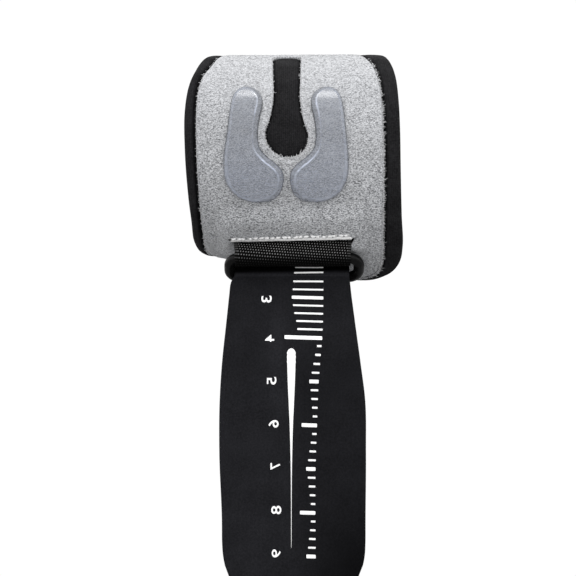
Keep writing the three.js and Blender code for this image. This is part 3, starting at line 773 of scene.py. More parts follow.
# fibres at random places of the face, clear of the cuts; hairs root by an edge and lean out over it
def makeFibres():
    f, p = pileFibres, pilePanel
    rng = np.random.default_rng(f["seed"])
    spread = lambda limits, count: rng.uniform(*limits, count)
    tries = f["faceCount"] * 2
    x, along = spread(f["faceAcross"], tries), rng.uniform(p["bentFrom"], panelEnd, tries)
    inside = (x > panelLeft(along) + f["clear"]) & (x < panelRight(along) - f["clear"])
    aside = x - p["keyholeAxis"]
    hole = np.abs(aside) < keyholeHalf(along, aside) + f["holeClear"]
    hole &= (along > -0.5) & (along < p["topAlong"] + 0.4)
    lip = slitAlong(x)
    cut = (along < lip + f["clear"]) & (along > lip - slitOpening(x) - f["clear"])
    keep = np.flatnonzero(inside & ~hole & ~cut)[:f["faceCount"]]
    x, along, count = x[keep], along[keep], len(keep)
    offset = (panelOutside + panelLift(along, x) - f["sunk"])[:, None]
    combed, loose = rng.normal(0, f["combedTurn"], count), rng.uniform(-np.pi, np.pi, count)
    bodies = [fibreBodies(x, along, offset, np.where(x > f["combedFrom"], combed, loose),
                          spread(f["faceLength"], count), spread(f["faceWidth"], count),
                          spread(f["faceArch"], count), rng.normal(0, f["bend"], count))]
    shades = [rng.beta(*f["faceShade"], count)]

    def addHairs(kind, x, along, heading):
        count, least, shape, scale, root, tip = f["hairs"][kind]
        length = least + rng.gamma(shape, scale, count)
        offset = root + (tip - root) * np.linspace(0, 1, 4) + panelLift(along, x)[:, None]
        bodies.append(fibreBodies(x, along, offset, heading + rng.normal(0, f["hairTurn"], count), length,
                                  spread(f["hairWidth"], count), spread(f["hairArch"], count),
                                  rng.normal(0, f["bend"], count)))
        shades.append(f["hairShade"] + (1 - f["hairShade"]) * rng.random(count))

    for kind, edge, root, heading in (("right", panelRight, -f["hairRoot"], 0.0),
                                      ("left", panelLeft, f["hairRoot"], np.pi)):
        down = rng.random(f["hairs"][kind][0]) ** f["hairThinning"]
        along = f["hairTop"] - (f["hairTop"] - f["hairBottom"]) * down
        addHairs(kind, edge(along) + root, along, heading)
    along = rng.uniform(p["bulbAlong"], p["topAlong"] - 1, f["hairs"]["stem"][0])
    side = rng.choice([-1, 1], len(along))
    x = p["keyholeAxis"] + side * (keyholeHalf(along, side) + f["hairRoot"])
    addHairs("stem", x, along, np.where(side < 0, 0, np.pi))
    turn = rng.uniform(-np.pi, 0, f["hairs"]["bulb"][0])
    reach = p["bulbRadius"] + f["hairRoot"]
    x, along = p["keyholeAxis"] + reach * np.cos(turn), p["bulbAlong"] + reach * np.sin(turn)
    addHairs("bulb", x, along, turn + np.pi)
    x = rng.uniform(p["slitLeft"], p["slitRight"], f["hairs"]["slit"][0])
    addHairs("slit", x, slitAlong(x) + 0.3, -np.pi / 2)
    bodies = np.concatenate(bodies)
    shade = np.repeat(np.concatenate(shades), bodies.shape[1] * bodies.shape[2])
    faces = manyFaces(*bodies.shape[:3], True)
    piece = makePiece("pile_fibres", bodies, faces, fibreGrey, values={"shade": shade})
    return piece


fibrePiece = makeFibres()
print("fibres:", faceCount(fibrePiece), "faces")

# gel pads
gelPad = {
    "rows": [  # height, inner and outer distance from the keyhole's axis
        (-10.05, 6.1, 6.1), (-10, 5.1, 7.3), (-9.6, 3.4, 9.35), (-8.5, 1.85, 11.5), (-6.5, 0.9, 13.1),
        (-4.4, 0.65, 13.9), (-2.9, 1.05, 14.1), (-1.3, 2.45, 14.15), (0.2, 4.4, 14.1), (2, 6.0, 14.0),
        (3.9, 6.5, 13.85), (6.3, 6.5, 13.6), (9.5, 6.05, 13.3), (12.0, 5.5, 12.95), (13.2, 5.5, 12.7),
        (14.45, 5.94, 12.26), (15.8, 7.28, 10.92), (16.17, 8.16, 10.04), (16.3, 9.1, 9.1),
    ],
    "height": 1.15, "innerBevel": 1.3, "outerBevel": 0.85, "bevelPower": 2.2, "sunk": 0.12,
    "leftSpread": 0.35, "spreadFrom": (-9.9, -6), "spreadUntil": (0, 8),  # heights
    "crestWide": 0.11, "coverWide": 0.14, "outerLine": (0.75, 0.22),  # shares of the bevel
    # painted light and shade in the tint: by height, on the inner bevel, the crest, the outer bevel and the
    # outline
    "tint": 0.37, "lightByHeight": [(-10, 0.14), (-4.7, 0.13), (5.4, -0.06), (16, -0.07)], "bevelShade": -0.07,
    "crestHighlight": 0.09, "highlightTint": 0.8, "outerHighlight": 0.27, "outlineShade": -0.34, "outline": 0.2,
    "cover": 0.46, "bevelCover": 0.05, "crestCover": 0.1, "highlightCover": 0.3, "outlineCover": 0.34,
    "paintedHighlights": [(-1.2, 2.6, 1.0), (11.5, 2.2, 0.6)],  # height, half width, strength
}


# rows are level and spaced as on a circle, so both ends close round;
# rise = full height times a round-off by the distance to the rim over the bevel, wider at the inner edge;
# tint and cover = a base, plus painted light and shade: lighter low down and darker high up, darker on the
# inner bevel, painted highlight lines along the inner crest and the outer bevel, stronger at given heights,
# and a painted dark outline
def makePad(name, node, side):
    g = gelPad
    start, end = g["rows"][0][0], g["rows"][-1][0]
    turn = np.linspace(0, np.pi, 110)[:, None]
    height = start + (end - start) * (1 - np.cos(turn)) / 2
    byTurn = [(math.acos(1 - 2 * (row[0] - start) / (end - start)), row[1], row[2]) for row in g["rows"]]
    inner, outer = smoothColumn(byTurn, 1, turn), smoothColumn(byTurn, 2, turn)
    if side < 0:
        low, high = smoothStep(height, *g["spreadFrom"]), smoothStep(height, *g["spreadUntil"])
        outer = outer + g["leftSpread"] * low * (1 - high)
    away, height = np.broadcast_arrays(inner + crowdedAcross(outer - inner, 30), height)
    flat = np.stack([away, height], -1)
    innerLine, outerLine = flat[:, 0], np.concatenate([flat[0], flat[:, -1], flat[-1, ::-1]])
    toInner = distanceTo(flat, innerLine[:-1], innerLine[1:])
    toOuter = distanceTo(flat, outerLine[:-1], outerLine[1:])
    toRim = np.minimum(toInner, toOuter)
    inward = smoothStep(toOuter / np.maximum(toInner + toOuter, 1e-6), 0.25, 0.75)
    share = toRim / (g["outerBevel"] + (g["innerBevel"] - g["outerBevel"]) * inward)
    rise = g["height"] * roundOff(share, 1.0, g["bevelPower"])
    bevel = inward * (1 - smoothStep(share, 0.7, 1.0))
    paintedHighlight = sum(strength * hump(height, place, wide) for place, wide, strength in g["paintedHighlights"])
    outline = hump(toRim, 0, g["outline"])
    # painted light and shade: the tint is lighter low down, darker on the inner bevel and outline, with
    # painted highlight lines
    tint = g["tint"] + straightColumn(g["lightByHeight"], height) + g["bevelShade"] * bevel
    tint += (g["crestHighlight"] + g["highlightTint"] * paintedHighlight) * inward * hump(share, 1.0, g["crestWide"])
    tint += g["outerHighlight"] * (1 - inward) * hump(share, *g["outerLine"]) + g["outlineShade"] * outline
    cover = g["cover"] + g["bevelCover"] * bevel + g["outlineCover"] * outline
    cover += (g["crestCover"] + g["highlightCover"] * paintedHighlight * inward) * hump(share, 1.0, g["coverWide"])
    x = pilePanel["keyholeAxis"] + side * away
    foot = panelOutside - g["sunk"]
    along = alongAtHeight(height, x, foot)
    points, faces = bothSides(formPoint(along, x, foot + rise), formPoint(along, x, foot))
    piece = makePiece(name, points, faces, gelClear, values={"tint": tint, "cover": cover})
    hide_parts(node)
    return piece


padPieces = [makePad("gel_left", "gel_pad_left", -1), makePad("gel_right", "gel_pad_right", 1)]
print("pads:", faceCount(*padPieces), "faces")

# ring
ringWire = {
    "wire": 2.5, "length": 29.8, "middle": 0.18, "corner": 2.4,
    "upperBar": (-25.4, -22.8), "lowerBar": (-20.9, -27.1),  # y, z of the two bars
}


# round wire carried along a rounded rectangle in the plane of the two bars
def makeRing(bend=15, sides=28):
    r = ringWire
    upper, lower = np.array([0, *r["upperBar"]]), np.array([0, *r["lowerBar"]])
    width = np.linalg.norm(upper - lower)
    along, across = np.array([1.0, 0, 0]), (upper - lower) / width
    normal = np.cross(along, across)
    turn = (np.arange(4)[:, None] + np.linspace(0, 1, bend)).ravel() * np.pi / 2
    corner = np.repeat(np.array([[1, 1], [-1, 1], [-1, -1], [1, -1]]), bend, axis=0)
    outward = np.cos(turn)[:, None] * along + np.sin(turn)[:, None] * across
    centre = (upper + lower) / 2 + r["middle"] * along
    middle = centre + corner[:, :1] * (r["length"] / 2 - r["corner"]) * along
    middle = middle + corner[:, 1:] * (width / 2 - r["corner"]) * across + r["corner"] * outward
    side = np.linspace(0, 2 * np.pi, sides, endpoint=False)[:, None]
    points = middle[:, None] + r["wire"] / 2 * (np.cos(side) * outward[:, None] + np.sin(side) * normal)
    piece = makePiece("ring_wire", points, gridFaces(len(turn), sides, True, True), plain["ringBlack"])
    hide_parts("ring")
    return piece


ringPiece = makeRing()

# webbing
webbingTab = {
    "wall": 0.62, "clear": 0.05, "middle": -0.17, "slitHalf": 13.65, "frontHalf": 13.35, "backHalf": 13.2,
    "tailTop": -16.0, "tailLow": 1.2, "weaveHeight": 0.1, "weaveSunk": 0.4,
    "sideRound": 0.42, "endRound": 0.4,
    # painted shade round the bar: its strength, and how far before and after the fold's start it reaches
    "selvedge": 0.8, "selvedgeFade": 0.2, "foldShade": 0.93, "foldBefore": 1.3, "foldAfter": 0.8,
}


# cubic curves from starts to ends, with handles a third of the way long
def bezier(start, leaving, end, arriving, count):
    reach = np.linalg.norm(end - start, axis=-1, keepdims=True) / 3
    t = np.linspace(0, 1, count)[:, None, None]
    return ((1 - t) ** 3 * start + 3 * (1 - t) ** 2 * t * (start + leaving * reach)
            + 3 * (1 - t) * t ** 2 * (end - arriving * reach) + t ** 3 * end)


# a place on a circle round one of the ring's bars
def barPoint(bar, x, radius, angle):
    angle, x = np.broadcast_arrays(angle, x)
    return np.stack([x, bar[0] + radius * np.cos(angle), bar[1] + radius * np.sin(angle)], -1)


# path: down the band under the panel, out of the slit, round the upper bar and up behind itself
def makeWebbing():
    w = webbingTab
    share = np.concatenate([[-1, -0.997, -0.988], np.linspace(-0.97, 0.97, 190), [0.988, 0.997, 1]])
    x = w["middle"] + share * w["slitHalf"]
    offset = panelInside + w["wall"] / 2
    radius = ringWire["wire"] / 2 + w["clear"] + w["wall"] / 2
    heights = np.linspace(w["tailTop"] + 0 * x, slitLevel(x) + w["tailLow"], 9)
    tail = formPoint(alongAtHeight(heights, x, offset), x, offset)
    leaving, up = unitLength(tail[-1] - tail[-2]), np.array([0, 0, 1.0])
    angle = np.linspace(np.pi, 2 * np.pi, 34)[:, None]
    loopHalf = w["frontHalf"] + (w["backHalf"] - w["frontHalf"]) * (angle / np.pi - 1)
    loop = barPoint(ringWire["upperBar"], w["middle"] + share * loopHalf, radius, angle)
    front = bezier(tail[-1], leaving, loop[0], -up, 36)
    behind = np.array([0, 1, -1]) / math.sqrt(2) * (w["wall"] + wrist["gap"])
    back = bezier(loop[-1], up, front[12] + behind, up, 18)
    middle = np.concatenate([tail[:-1], front[:-1], loop, back[1:]])
    centre = middle[:, middle.shape[1] // 2]
    down, drop = runLength(centre)[:, None], runLength(centre[:, 2:])[:, None]
    across = (share * w["slitHalf"])[None]
    foldStart = down[len(tail) + len(front) - 2]
    picks = np.where(down < foldStart, drop, np.interp(foldStart, down[:, 0], drop[:, 0]) + down - foldStart)
    slant, row, cross = (np.cos(2 * np.pi * (across * way[0] + picks * way[1]))
                         for way in webbingLook["ways"])
    # painted shade where the webbing turns round the bar, away from the light
    paintedShade = w["foldShade"] * smoothStep(down, foldStart - w["foldBefore"], foldStart + w["foldAfter"])
    toSelvedge = np.abs(across) - w["slitHalf"] + w["selvedge"]
    rim = smoothStep(toSelvedge, -w["selvedgeFade"], w["selvedgeFade"])
    weave = np.clip((slant + row + cross) / 3 * (1 - rim) + row * rim / 2, 0, 1)
    closing = np.minimum(roundOff(w["slitHalf"] - np.abs(across), w["sideRound"]),
                         roundOff(np.minimum(down, down[-1] - down), w["endRound"]))
    half = (w["wall"] / 2 + w["weaveHeight"] * (weave - w["weaveSunk"])) * closing
    points, faces = clothFaces(middle, half)
    values = {"selvedge": np.broadcast_to(rim, weave.shape), "paintedShade": np.broadcast_to(paintedShade, weave.shape)}
    flat = np.stack(np.broadcast_arrays(across, picks), -1)
    piece = makePiece("webbing_fold", points, faces, webbingBlack, flat, values)
    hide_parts("webbing_tab")
    return piece


webbingPiece = makeWebbing()
print("ring and webbing:", faceCount(ringPiece, webbingPiece), "faces")

# pull strap
pullStrap = {
    "wall": 1.2, "length": 85.0, "corner": 6.0, "twist": 1.4, "sideRound": 0.3, "endRound": 0.5,
    "swayReach": 6.4, "swayOver": (0, 20), "wave": 0.22, "waveOver": (6, 30), "waveLength": (11.0, 19.0),
    "wrap": [  # along, left, right, inside
        (88, -16.8, 16.8, 2.9), (104, -16.8, 16.8, 2.9), (120, -15.6, 15.6, 4.3), (132, -13.6, 13.0, 4.3),
        (152, -13.62, 12.9, 4.3),
    ],
    "hang": [  # fall below the lower bar, left, right
        (0, -13.8, 12.9), (1.2, -14.4, 13.05), (4, -14.8, 13.35), (8, -15.2, 13.85), (12, -15.6, 14.35),
        (20, -16.4, 15.4), (28, -16.9, 16.4), (40, -17.0, 16.6), (56, -16.4, 16.5), (61, -16.35, 16.48),
        (63.3, -16.2, 16.38), (64.7, -16.0, 16.2), (66.3, -15.65, 15.84), (67.2, -15.3, 15.46),
        (68.6, -14.8, 14.92), (70.5, -14.45, 14.52), (73, -14.35, 14.4), (85, -14.35, 14.4),
    ],
    # painted light and shade: a base tone, a lighter left, a darker right and lower right, a painted pale
    # sheen, and a painted shadow on the bar
    "tone": 0.83, "topTone": 0.8, "leftLight": 0.2, "rightShade": 0.04, "lowShade": 0.4, "highlightGain": 0.22,
    "leftOver": (12, 30), "rightOver": (0.42, 0.62), "lowOver": (42, 68), "lowAcross": (0.5, 0.95),
    "paintedHighlight": (0.4, 0.07), "highlightIn": (4, 12), "highlightOut": (22, 40),  # falls in mm, shares of the width
    "barShadowFrom": (10, 34), "foldShade": 0.97,  # degrees above level on the bar
}
strapRadius = ringWire["wire"] / 2 + wrist["gap"] + pullStrap["wall"] / 2


# the hanging strap leans forward by a smooth step and has a slight slow wave
def strapY(fall, x=0.0):
    s = pullStrap
    down, across = s["waveLength"]
    wave = s["wave"] * np.sin(fall / down + np.asarray(x) / across) * smoothStep(fall, *s["waveOver"])
    return ringWire["lowerBar"][0] - strapRadius - s["swayReach"] * smoothStep(fall, *s["swayOver"]) + wave


# the hanging strap's middle, at a fall below the lower bar
def hangPoint(fall, x):
    return np.stack(np.broadcast_arrays(x, strapY(fall, x), ringWire["lowerBar"][1] - fall), -1)


# painted light and shade on the hanging strap: lighter at the left, darker on the right and more so low down
# on the right, and a painted pale sheen near the top
def strapPaintedLight(share, fall):
    s = pullStrap
    toRight = smoothStep(share, *s["rightOver"])
    toLow = smoothStep(fall, *s["lowOver"]) * smoothStep(share, *s["lowAcross"])
    paintedHighlight = smoothStep(fall, *s["highlightIn"]) * (1 - smoothStep(fall, *s["highlightOut"]))
    paintedHighlight = paintedHighlight * hump(share, *s["paintedHighlight"])
    gain = s["leftLight"] * smoothStep(fall, *s["leftOver"]) * (1 - toRight) - s["rightShade"] * toRight
    return s["tone"] * (s["topTone"] + gain) - s["lowShade"] * toLow + s["highlightGain"] * paintedHighlight


# path: sewn on the tail, round under the wrist, over the lower bar, then down; columns share its width
def makeStrap(runRows=14, barRows=24):
    s = pullStrap
    rim = np.array([0, 0.0012, 0.005, 0.011, 0.02, 0.034])
    share = np.concatenate([rim, np.linspace(rim[-1], 1 - rim[-1], 36)[1:-1], 1 - rim[::-1]])
    first, leave = s["wrap"][0][0], s["wrap"][-1][0]
    ends = 0.6 * (1 - np.cos(np.linspace(0, np.pi / 2, 6)))
    wrapRows = np.concatenate([first + ends, np.linspace(first + 0.6, leave, 64)[1:]])[:, None]
    lerp = lambda low, high: low + (high - low) * share
    wrapX = lerp(smoothColumn(s["wrap"], 1, wrapRows), smoothColumn(s["wrap"], 2, wrapRows))
    wrapped = formPoint(wrapRows, wrapX, smoothColumn(s["wrap"], 3, wrapRows) + s["wall"] / 2)
    leaving = unitLength(wrapped[-1] - wrapped[-2])
    barX = wrapX[-1]
    rise = np.radians(90 - s["twist"] * barX)
    turn = rise + (np.pi - rise) * np.linspace(0, 1, barRows)[:, None]
    bend = barPoint(ringWire["lowerBar"], barX, strapRadius, turn)
    arriving = np.stack([0 * rise, -np.sin(rise), np.cos(rise)], -1)
    run = bezier(wrapped[-1], leaving, bend[0], arriving, runRows)
    straight = s["length"] - s["corner"]
    corner = straight + s["corner"] * np.sin(np.linspace(0, np.pi / 2, 18))
    falls = np.concatenate([[0, 0.4, 0.8, 1.2, 2, 3], np.linspace(4, straight, 76), corner[1:]])[:, None]
    past = np.maximum(falls - s["length"] + s["corner"], 0)
    inset = s["corner"] - np.sqrt(s["corner"] ** 2 - past ** 2)
    hangX = lerp(smoothColumn(s["hang"], 1, falls) + inset, smoothColumn(s["hang"], 2, falls) - inset)
    middle = np.concatenate([wrapped[:-1], run[:-1], bend[:-1], hangPoint(falls, hangX)])
    down = runLength(middle[:, middle.shape[1] // 2])[:, None]
    width = np.linalg.norm(middle[:, -1] - middle[:, 0], axis=1)[:, None]
    half = s["wall"] / 2 * np.minimum(roundOff(np.minimum(share, 1 - share) * width, s["sideRound"]),
                                      roundOff(np.minimum(down, down[-1] - down), s["endRound"]))
    points, faces = clothFaces(middle, half)
    flat = np.stack(np.broadcast_arrays((share - 0.5) * width, down), -1)
    # painted shadow: the strap darkens toward black as it runs up to and over the bar, under the webbing and
    # ring; painted light and shade below
    onBar = smoothStep(np.linspace(90, 0, barRows)[:-1], *s["barShadowFrom"])
    onRun = np.linspace(1 - s["tone"], 1, runRows)[:-1]
    onBand = np.full(len(wrapRows) - 1, 1 - s["tone"])
    paintedShadow = np.concatenate([onBand, s["foldShade"] * onRun, s["foldShade"] * onBar])
    paintedShadow = np.broadcast_to(paintedShadow[:, None], (len(paintedShadow), len(share)))
    paintedShade = np.concatenate([paintedShadow, 1 - strapPaintedLight(share, falls)])
    piece = makePiece("pull_strap_cloth", points, faces, strapBlack, flat, {"paintedShade": paintedShade})
    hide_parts("pull_strap")
    return piece, float(down[-1, 0]) * 0.001


strapPiece, strapReach = makeStrap()
print("strap:", faceCount(strapPiece), "faces")

# printed scale on the strap's face: ticks every 2 mm, a wedge and numbers that lie on their sides
printedScale = {
    "unit": 10.0, "fiveFall": 24.0, "firstUnit": 2.2, "lastUnit": 9.0, "step": 0.2, "nudged": (2.4, -0.03),
    "lift": 0.03, "crown": 1.6, "ink": 0.05, "bendRound": 3.2, "endRound": 0.18, "endLine": 0.7,
    "rightEnds": [(2.2, 6.9), (3, 6.87), (4, 6.56), (4.6, 6.06), (5, 5.76), (6, 5.37), (6.8, 5.08),
                  (9.2, 5.08)],
    "minorLine": 0.56, "majorLine": 1.06, "evenLength": 3.52, "oddLength": 2.15, "minorLength": 1.95,
    "minorTaper": 1.15, "extraLength": 5.1, "extraUntil": 4.05,
    "longTicks": [(2.2, 6.5), (2.4, 6.75), (2.6, 6.95), (2.8, 7.05), (3.2, 6.95), (3.4, 6.6), (3.6, 6.1),
                  (3.8, 5.8)],
    "tilt": [(2.2, 0.0), (2.4, -0.02), (2.6, 0.005), (3, 0.03), (9, 0.03)],
    "wedge": [  # unit, width
        (4.25, 2.04), (4.35, 2.08), (4.48, 2.14), (4.75, 2.02), (5, 1.84), (5.2, 1.66), (5.41, 1.42),
        (5.66, 1.18), (5.9, 0.9), (6.23, 0.66), (6.7, 0.4), (7.06, 0.25), (7.47, 0.18), (7.72, 0.14),
        (8.5, 0.1), (8.8, 0.05),
    ],
    "wedgeMiddle": -0.5, "wedgeTop": 4.253, "wedgeRound": 1.15, "wedgeBleed": 0.02,
    "numbers": {  # left, right in mm, first and last unit
        "3": (-7.39, -5.01, 2.955, 3.125), "4": (-6.52, -4.42, 3.935, 4.1), "5": (-6.09, -3.91, 4.895, 5.07),
        "6": (-5.74, -3.41, 5.88, 6.055), "7": (-5.28, -3.04, 6.865, 7.02), "8": (-5.1, -2.79, 7.84, 8.03),
        "9": (-4.99, -2.93, 8.835, 9.02),
    },
    "numberWeight": 0.012,
}
fallTable = np.linspace(0, pullStrap["length"], 1700)
arcTable = runLength(np.stack([fallTable, strapY(fallTable)], -1))


# a place on the strap's front face, from x and the scale's own units, raised off the cloth
def scalePoint(x, unit, raised):
    p = printedScale
    arc = np.interp(p["fiveFall"], fallTable, arcTable) + (unit - 5) * p["unit"]
    fall = np.interp(arc, arcTable, fallTable)
    slope = (strapY(fall + 0.05, x) - strapY(fall - 0.05, x)) / 0.1
    normal = np.stack([0 * slope, -np.ones_like(slope), -slope], -1) / np.hypot(1, slope)[..., None]
    raised = pullStrap["wall"] / 2 + raised
    hanging = hangPoint(fall, x) + normal * raised[..., None]
    turn = np.pi + np.minimum(arc, 0) / p["bendRound"]
    onBar = barPoint(ringWire["lowerBar"], x, strapRadius + raised, turn)
    return np.where((arc < 0)[..., None], onBar, hanging)


# ticks: from their right end to the left by their length, thinner at both ends, crowned across
def scaleTicks():
    p = printedScale
    units = np.round(np.arange(p["firstUnit"], p["lastUnit"] + 0.01, p["step"]), 1)
    whole = np.abs(units - np.round(units)) < 0.05
    even = np.round(units) % 2 == 0
    fromOdd = np.abs((units - 1) % 2 - 1)
    minor = p["minorLength"] - p["minorTaper"] * (1 - fromOdd)
    length = np.where(whole, np.where(even, p["evenLength"], p["oddLength"]), minor)
    long = units < p["extraUntil"]
    length = np.where(long & ~whole, straightColumn(p["longTicks"], units), length + p["extraLength"] * long)
    place = np.where(units == p["nudged"][0], units + p["nudged"][1], units)
    line = np.where(whole, p["majorLine"], p["minorLine"])
    right, tilt = smoothColumn(p["rightEnds"], 1, units), straightColumn(p["tilt"], units)
    columns = (place, length, line, right, tilt)
    place, length, line, right, tilt = (column[:, None, None] for column in columns)
    ends = 0.05 * (1 - np.cos(np.linspace(0, np.pi / 2, 6)))
    share = np.concatenate([ends, np.linspace(0.05, 0.95, 12)[1:-1], 1 - ends[::-1]])[None, :, None]
    across = np.linspace(-1, 1, 5)[None, None]
    toEnd = np.minimum(share, 1 - share) * length
    thick = line * (p["endLine"] + (1 - p["endLine"]) * roundOff(toEnd, p["endRound"]))
    unit = place + (across * thick / 2 + tilt * (share - 0.5) * length) / p["unit"]
    crown = p["lift"] * (1 - p["crown"] * across ** 4)
    x, unit, raised = np.broadcast_arrays(right - length + length * share, unit, crown)
    return scalePoint(x, unit, raised).reshape(-1, 3), manyFaces(*unit.shape)


# wedge: its table's width with a round top, crowned across
def scaleWedge():
    p = printedScale
    cap = p["wedgeTop"] + p["wedgeRound"] / p["unit"] * (1 - np.cos(np.linspace(0.03, np.pi / 2, 16)))
    unit = np.concatenate([cap, np.linspace(cap[-1], p["wedge"][-1][0], 70)[1:]])[:, None]
    wide = straightColumn(p["wedge"], unit) + p["wedgeBleed"]
    wide = wide * roundOff((unit - p["wedgeTop"]) * p["unit"], p["wedgeRound"])
    side = np.linspace(-1, 1, 9)[None]
    crown = p["lift"] * (1 - p["crown"] * side ** 6)
    x, unit, raised = np.broadcast_arrays(p["wedgeMiddle"] + wide / 2 * side, unit, crown)
    return scalePoint(x, unit, raised).reshape(-1, 3), gridFaces(*unit.shape)


# a digit's filled outline, laid on its side and turned over within its box
def scaleNumber(digit, left, right, top, bottom):
    curve = bpy.data.curves.new("number" + digit, "FONT")
    curve.body, curve.offset, curve.resolution_u = digit, printedScale["numberWeight"], 6
    holder = addObject("number" + digit, curve)
    bpy.context.view_layer.update()
    glyph = holder.evaluated_get(bpy.context.evaluated_depsgraph_get()).to_mesh()
    glyph.calc_loop_triangles()
    flat = np.empty(len(glyph.vertices) * 3)
    glyph.vertices.foreach_get("co", flat)
    corners = np.empty(len(glyph.loop_triangles) * 3, int)
    glyph.loop_triangles.foreach_get("vertices", corners)
    bpy.data.objects.remove(holder)
    bpy.data.curves.remove(curve)
    flat = flat.reshape(-1, 3)[:, :2]
    flat = (flat - flat.min(0)) / np.ptp(flat, axis=0)
    x, unit = left + (1 - flat[:, 1]) * (right - left), top + flat[:, 0] * (bottom - top)
    return scalePoint(x, unit, np.full(len(flat), printedScale["lift"])), corners.reshape(-1, 3)


# ticks, wedge and digits joined into one mesh of triangles that look to the front, as thin as ink
def makePrint():
    groups = [scaleTicks(), scaleWedge()]
    groups += [scaleNumber(digit, *box) for digit, box in printedScale["numbers"].items()]
    faces, count = [], 0
    for part, corners in groups:
        if corners.shape[1] == 4:
            corners = np.concatenate([corners[:, [0, 1, 2]], corners[:, [0, 2, 3]]])
        faces.append(corners + count)
        count += len(part)
    points, faces = np.concatenate([part for part, _ in groups]), np.concatenate(faces)
    normal = np.cross(points[faces[:, 1]] - points[faces[:, 0]], points[faces[:, 2]] - points[faces[:, 0]])
    faces = np.where(normal[:, 1:2] > 0, faces[:, ::-1], faces)
    mesh = bpy.data.meshes.new("scale_print")
    mesh.from_pydata((points * mm).tolist(), [], faces.tolist())
    mesh.materials.append(plain["scaleWhiteGlow"])
    piece = addObject("scale_print", mesh)
    ink = piece.modifiers.new("ink", "SOLIDIFY")
    ink.thickness, ink.offset = printedScale["ink"] * mm, -1.0
    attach(piece, "root")
    return piece


printPiece = makePrint()
print("scale:", faceCount(printPiece), "faces")

# hook field on the strap's back face, at its free end
hookField = {
    "width": 28.0, "height": 13.0, "corner": 3.0, "wall": 0.7, "rimRound": 0.5, "lift": 0.02, "fall": 76.0,
    "pitch": 1.35, "across": 12.8, "upDown": 5.4, "hookHeight": 1.25, "hookBend": 0.32, "hookWire": 0.13,
}


# plate: rows narrowed at the corners, rounded at the rim; hooks: a stem that bends over, in rows
def makeHooks():
    h = hookField
    top = h["height"] / 2
    inner = np.linspace(rimSteps[-1] - top, top - rimSteps[-1], 26)[1:-1]
    level = np.concatenate([rimSteps - top, inner, (top - rimSteps)[::-1]])[:, None]
    past = np.maximum(np.abs(level) - top + h["corner"], 0)
    halfWide = h["width"] / 2 - h["corner"] + np.sqrt(np.maximum(h["corner"] ** 2 - past ** 2, 0))
    x = -halfWide + crowdedAcross(2 * halfWide, 40)
    toRim = np.minimum(np.minimum(halfWide - np.abs(x), top - np.abs(level)), 1)
    thick = h["wall"] * roundOff(toRim, h["rimRound"])
    backFace = pullStrap["wall"] / 2 + h["lift"]
    base = hangPoint(h["fall"] - level, x) + [0, backFace, 0]
    points, faces = bothSides(base + thick[..., None] * [0, 1, 0], base)
    platePiece = makePiece("hook_plate", points, faces, plain["hookBlack"])
    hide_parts("hook_tab")
    places = (np.arange(-reach, reach + 0.01, h["pitch"]) for reach in (h["across"], h["upDown"]))
    hookX, hookLevel = (grid.ravel() for grid in np.meshgrid(*places))
    turn = np.linspace(0, 1.15 * np.pi, 7)
    stem = h["hookHeight"] - h["hookBend"]
    pathAway = np.concatenate([[-0.3, stem * 0.6], stem + h["hookBend"] * np.sin(turn)])
    pathSide = np.concatenate([[0, 0], h["hookBend"] * (1 - np.cos(turn))])
    facing = np.where(np.round((hookLevel + h["upDown"]) / h["pitch"]) % 2 == 0, 1, -1)
    root = hangPoint(h["fall"] - hookLevel, hookX)[:, None]
    pathY = root[..., 1] + backFace + h["wall"] + pathAway
    pathX = hookX[:, None] + facing[:, None] * pathSide
    paths = np.stack(np.broadcast_arrays(pathX, pathY, root[..., 2]), -1)
    hookPiece = makePiece("hook_loops", *tubes(paths, h["hookWire"], 5), plain["hookBlack"])
    return platePiece, hookPiece


platePiece, hookPiece = makeHooks()

# sewing: pale lip and stitches above the slit, a black knot, a black box stitch on the strap's end
sewing = {
    "seed": 21, "hemRound": 0.5, "hemWander": 0.06, "hemEnds": 0.6, "hemSunk": 0.3, "needle": 0.12,
    "stitchPitch": 1.3, "stitchWander": 0.1, "stitchLength": (0.8, 1.15), "stitchArch": (0.16, 0.3),
    "stitchRound": 0.33, "stitchStart": (0.7, 0.95), "stitchEnd": (0.75, 1.1),  # both above the lip
    "boxLow": 90.5, "boxHigh": 102.0, "boxSide": 14.6, "boxPitch": 2.6,
    "boxStitch": 1.9, "boxRound": 0.2, "boxArch": 0.24, "boxLift": 0.04, "knotRound": 0.24, "knotArch": 0.34,
}


# stitch = a short arch in (x, along, offset) from one needle hole to the next
def stitchPaths(startX, startAlong, endX, endAlong, offset, arch):
    share = np.linspace(0, 1, 7)
    x = startX[:, None] + (endX - startX)[:, None] * share
    along = startAlong[:, None] + (endAlong - startAlong)[:, None] * share
    offset, arch = np.reshape(offset, (-1, 1)), np.reshape(arch, (-1, 1))
    raised = offset + arch * np.sin(np.pi * share) - sewing["needle"]
    return formPoint(along, x, raised)


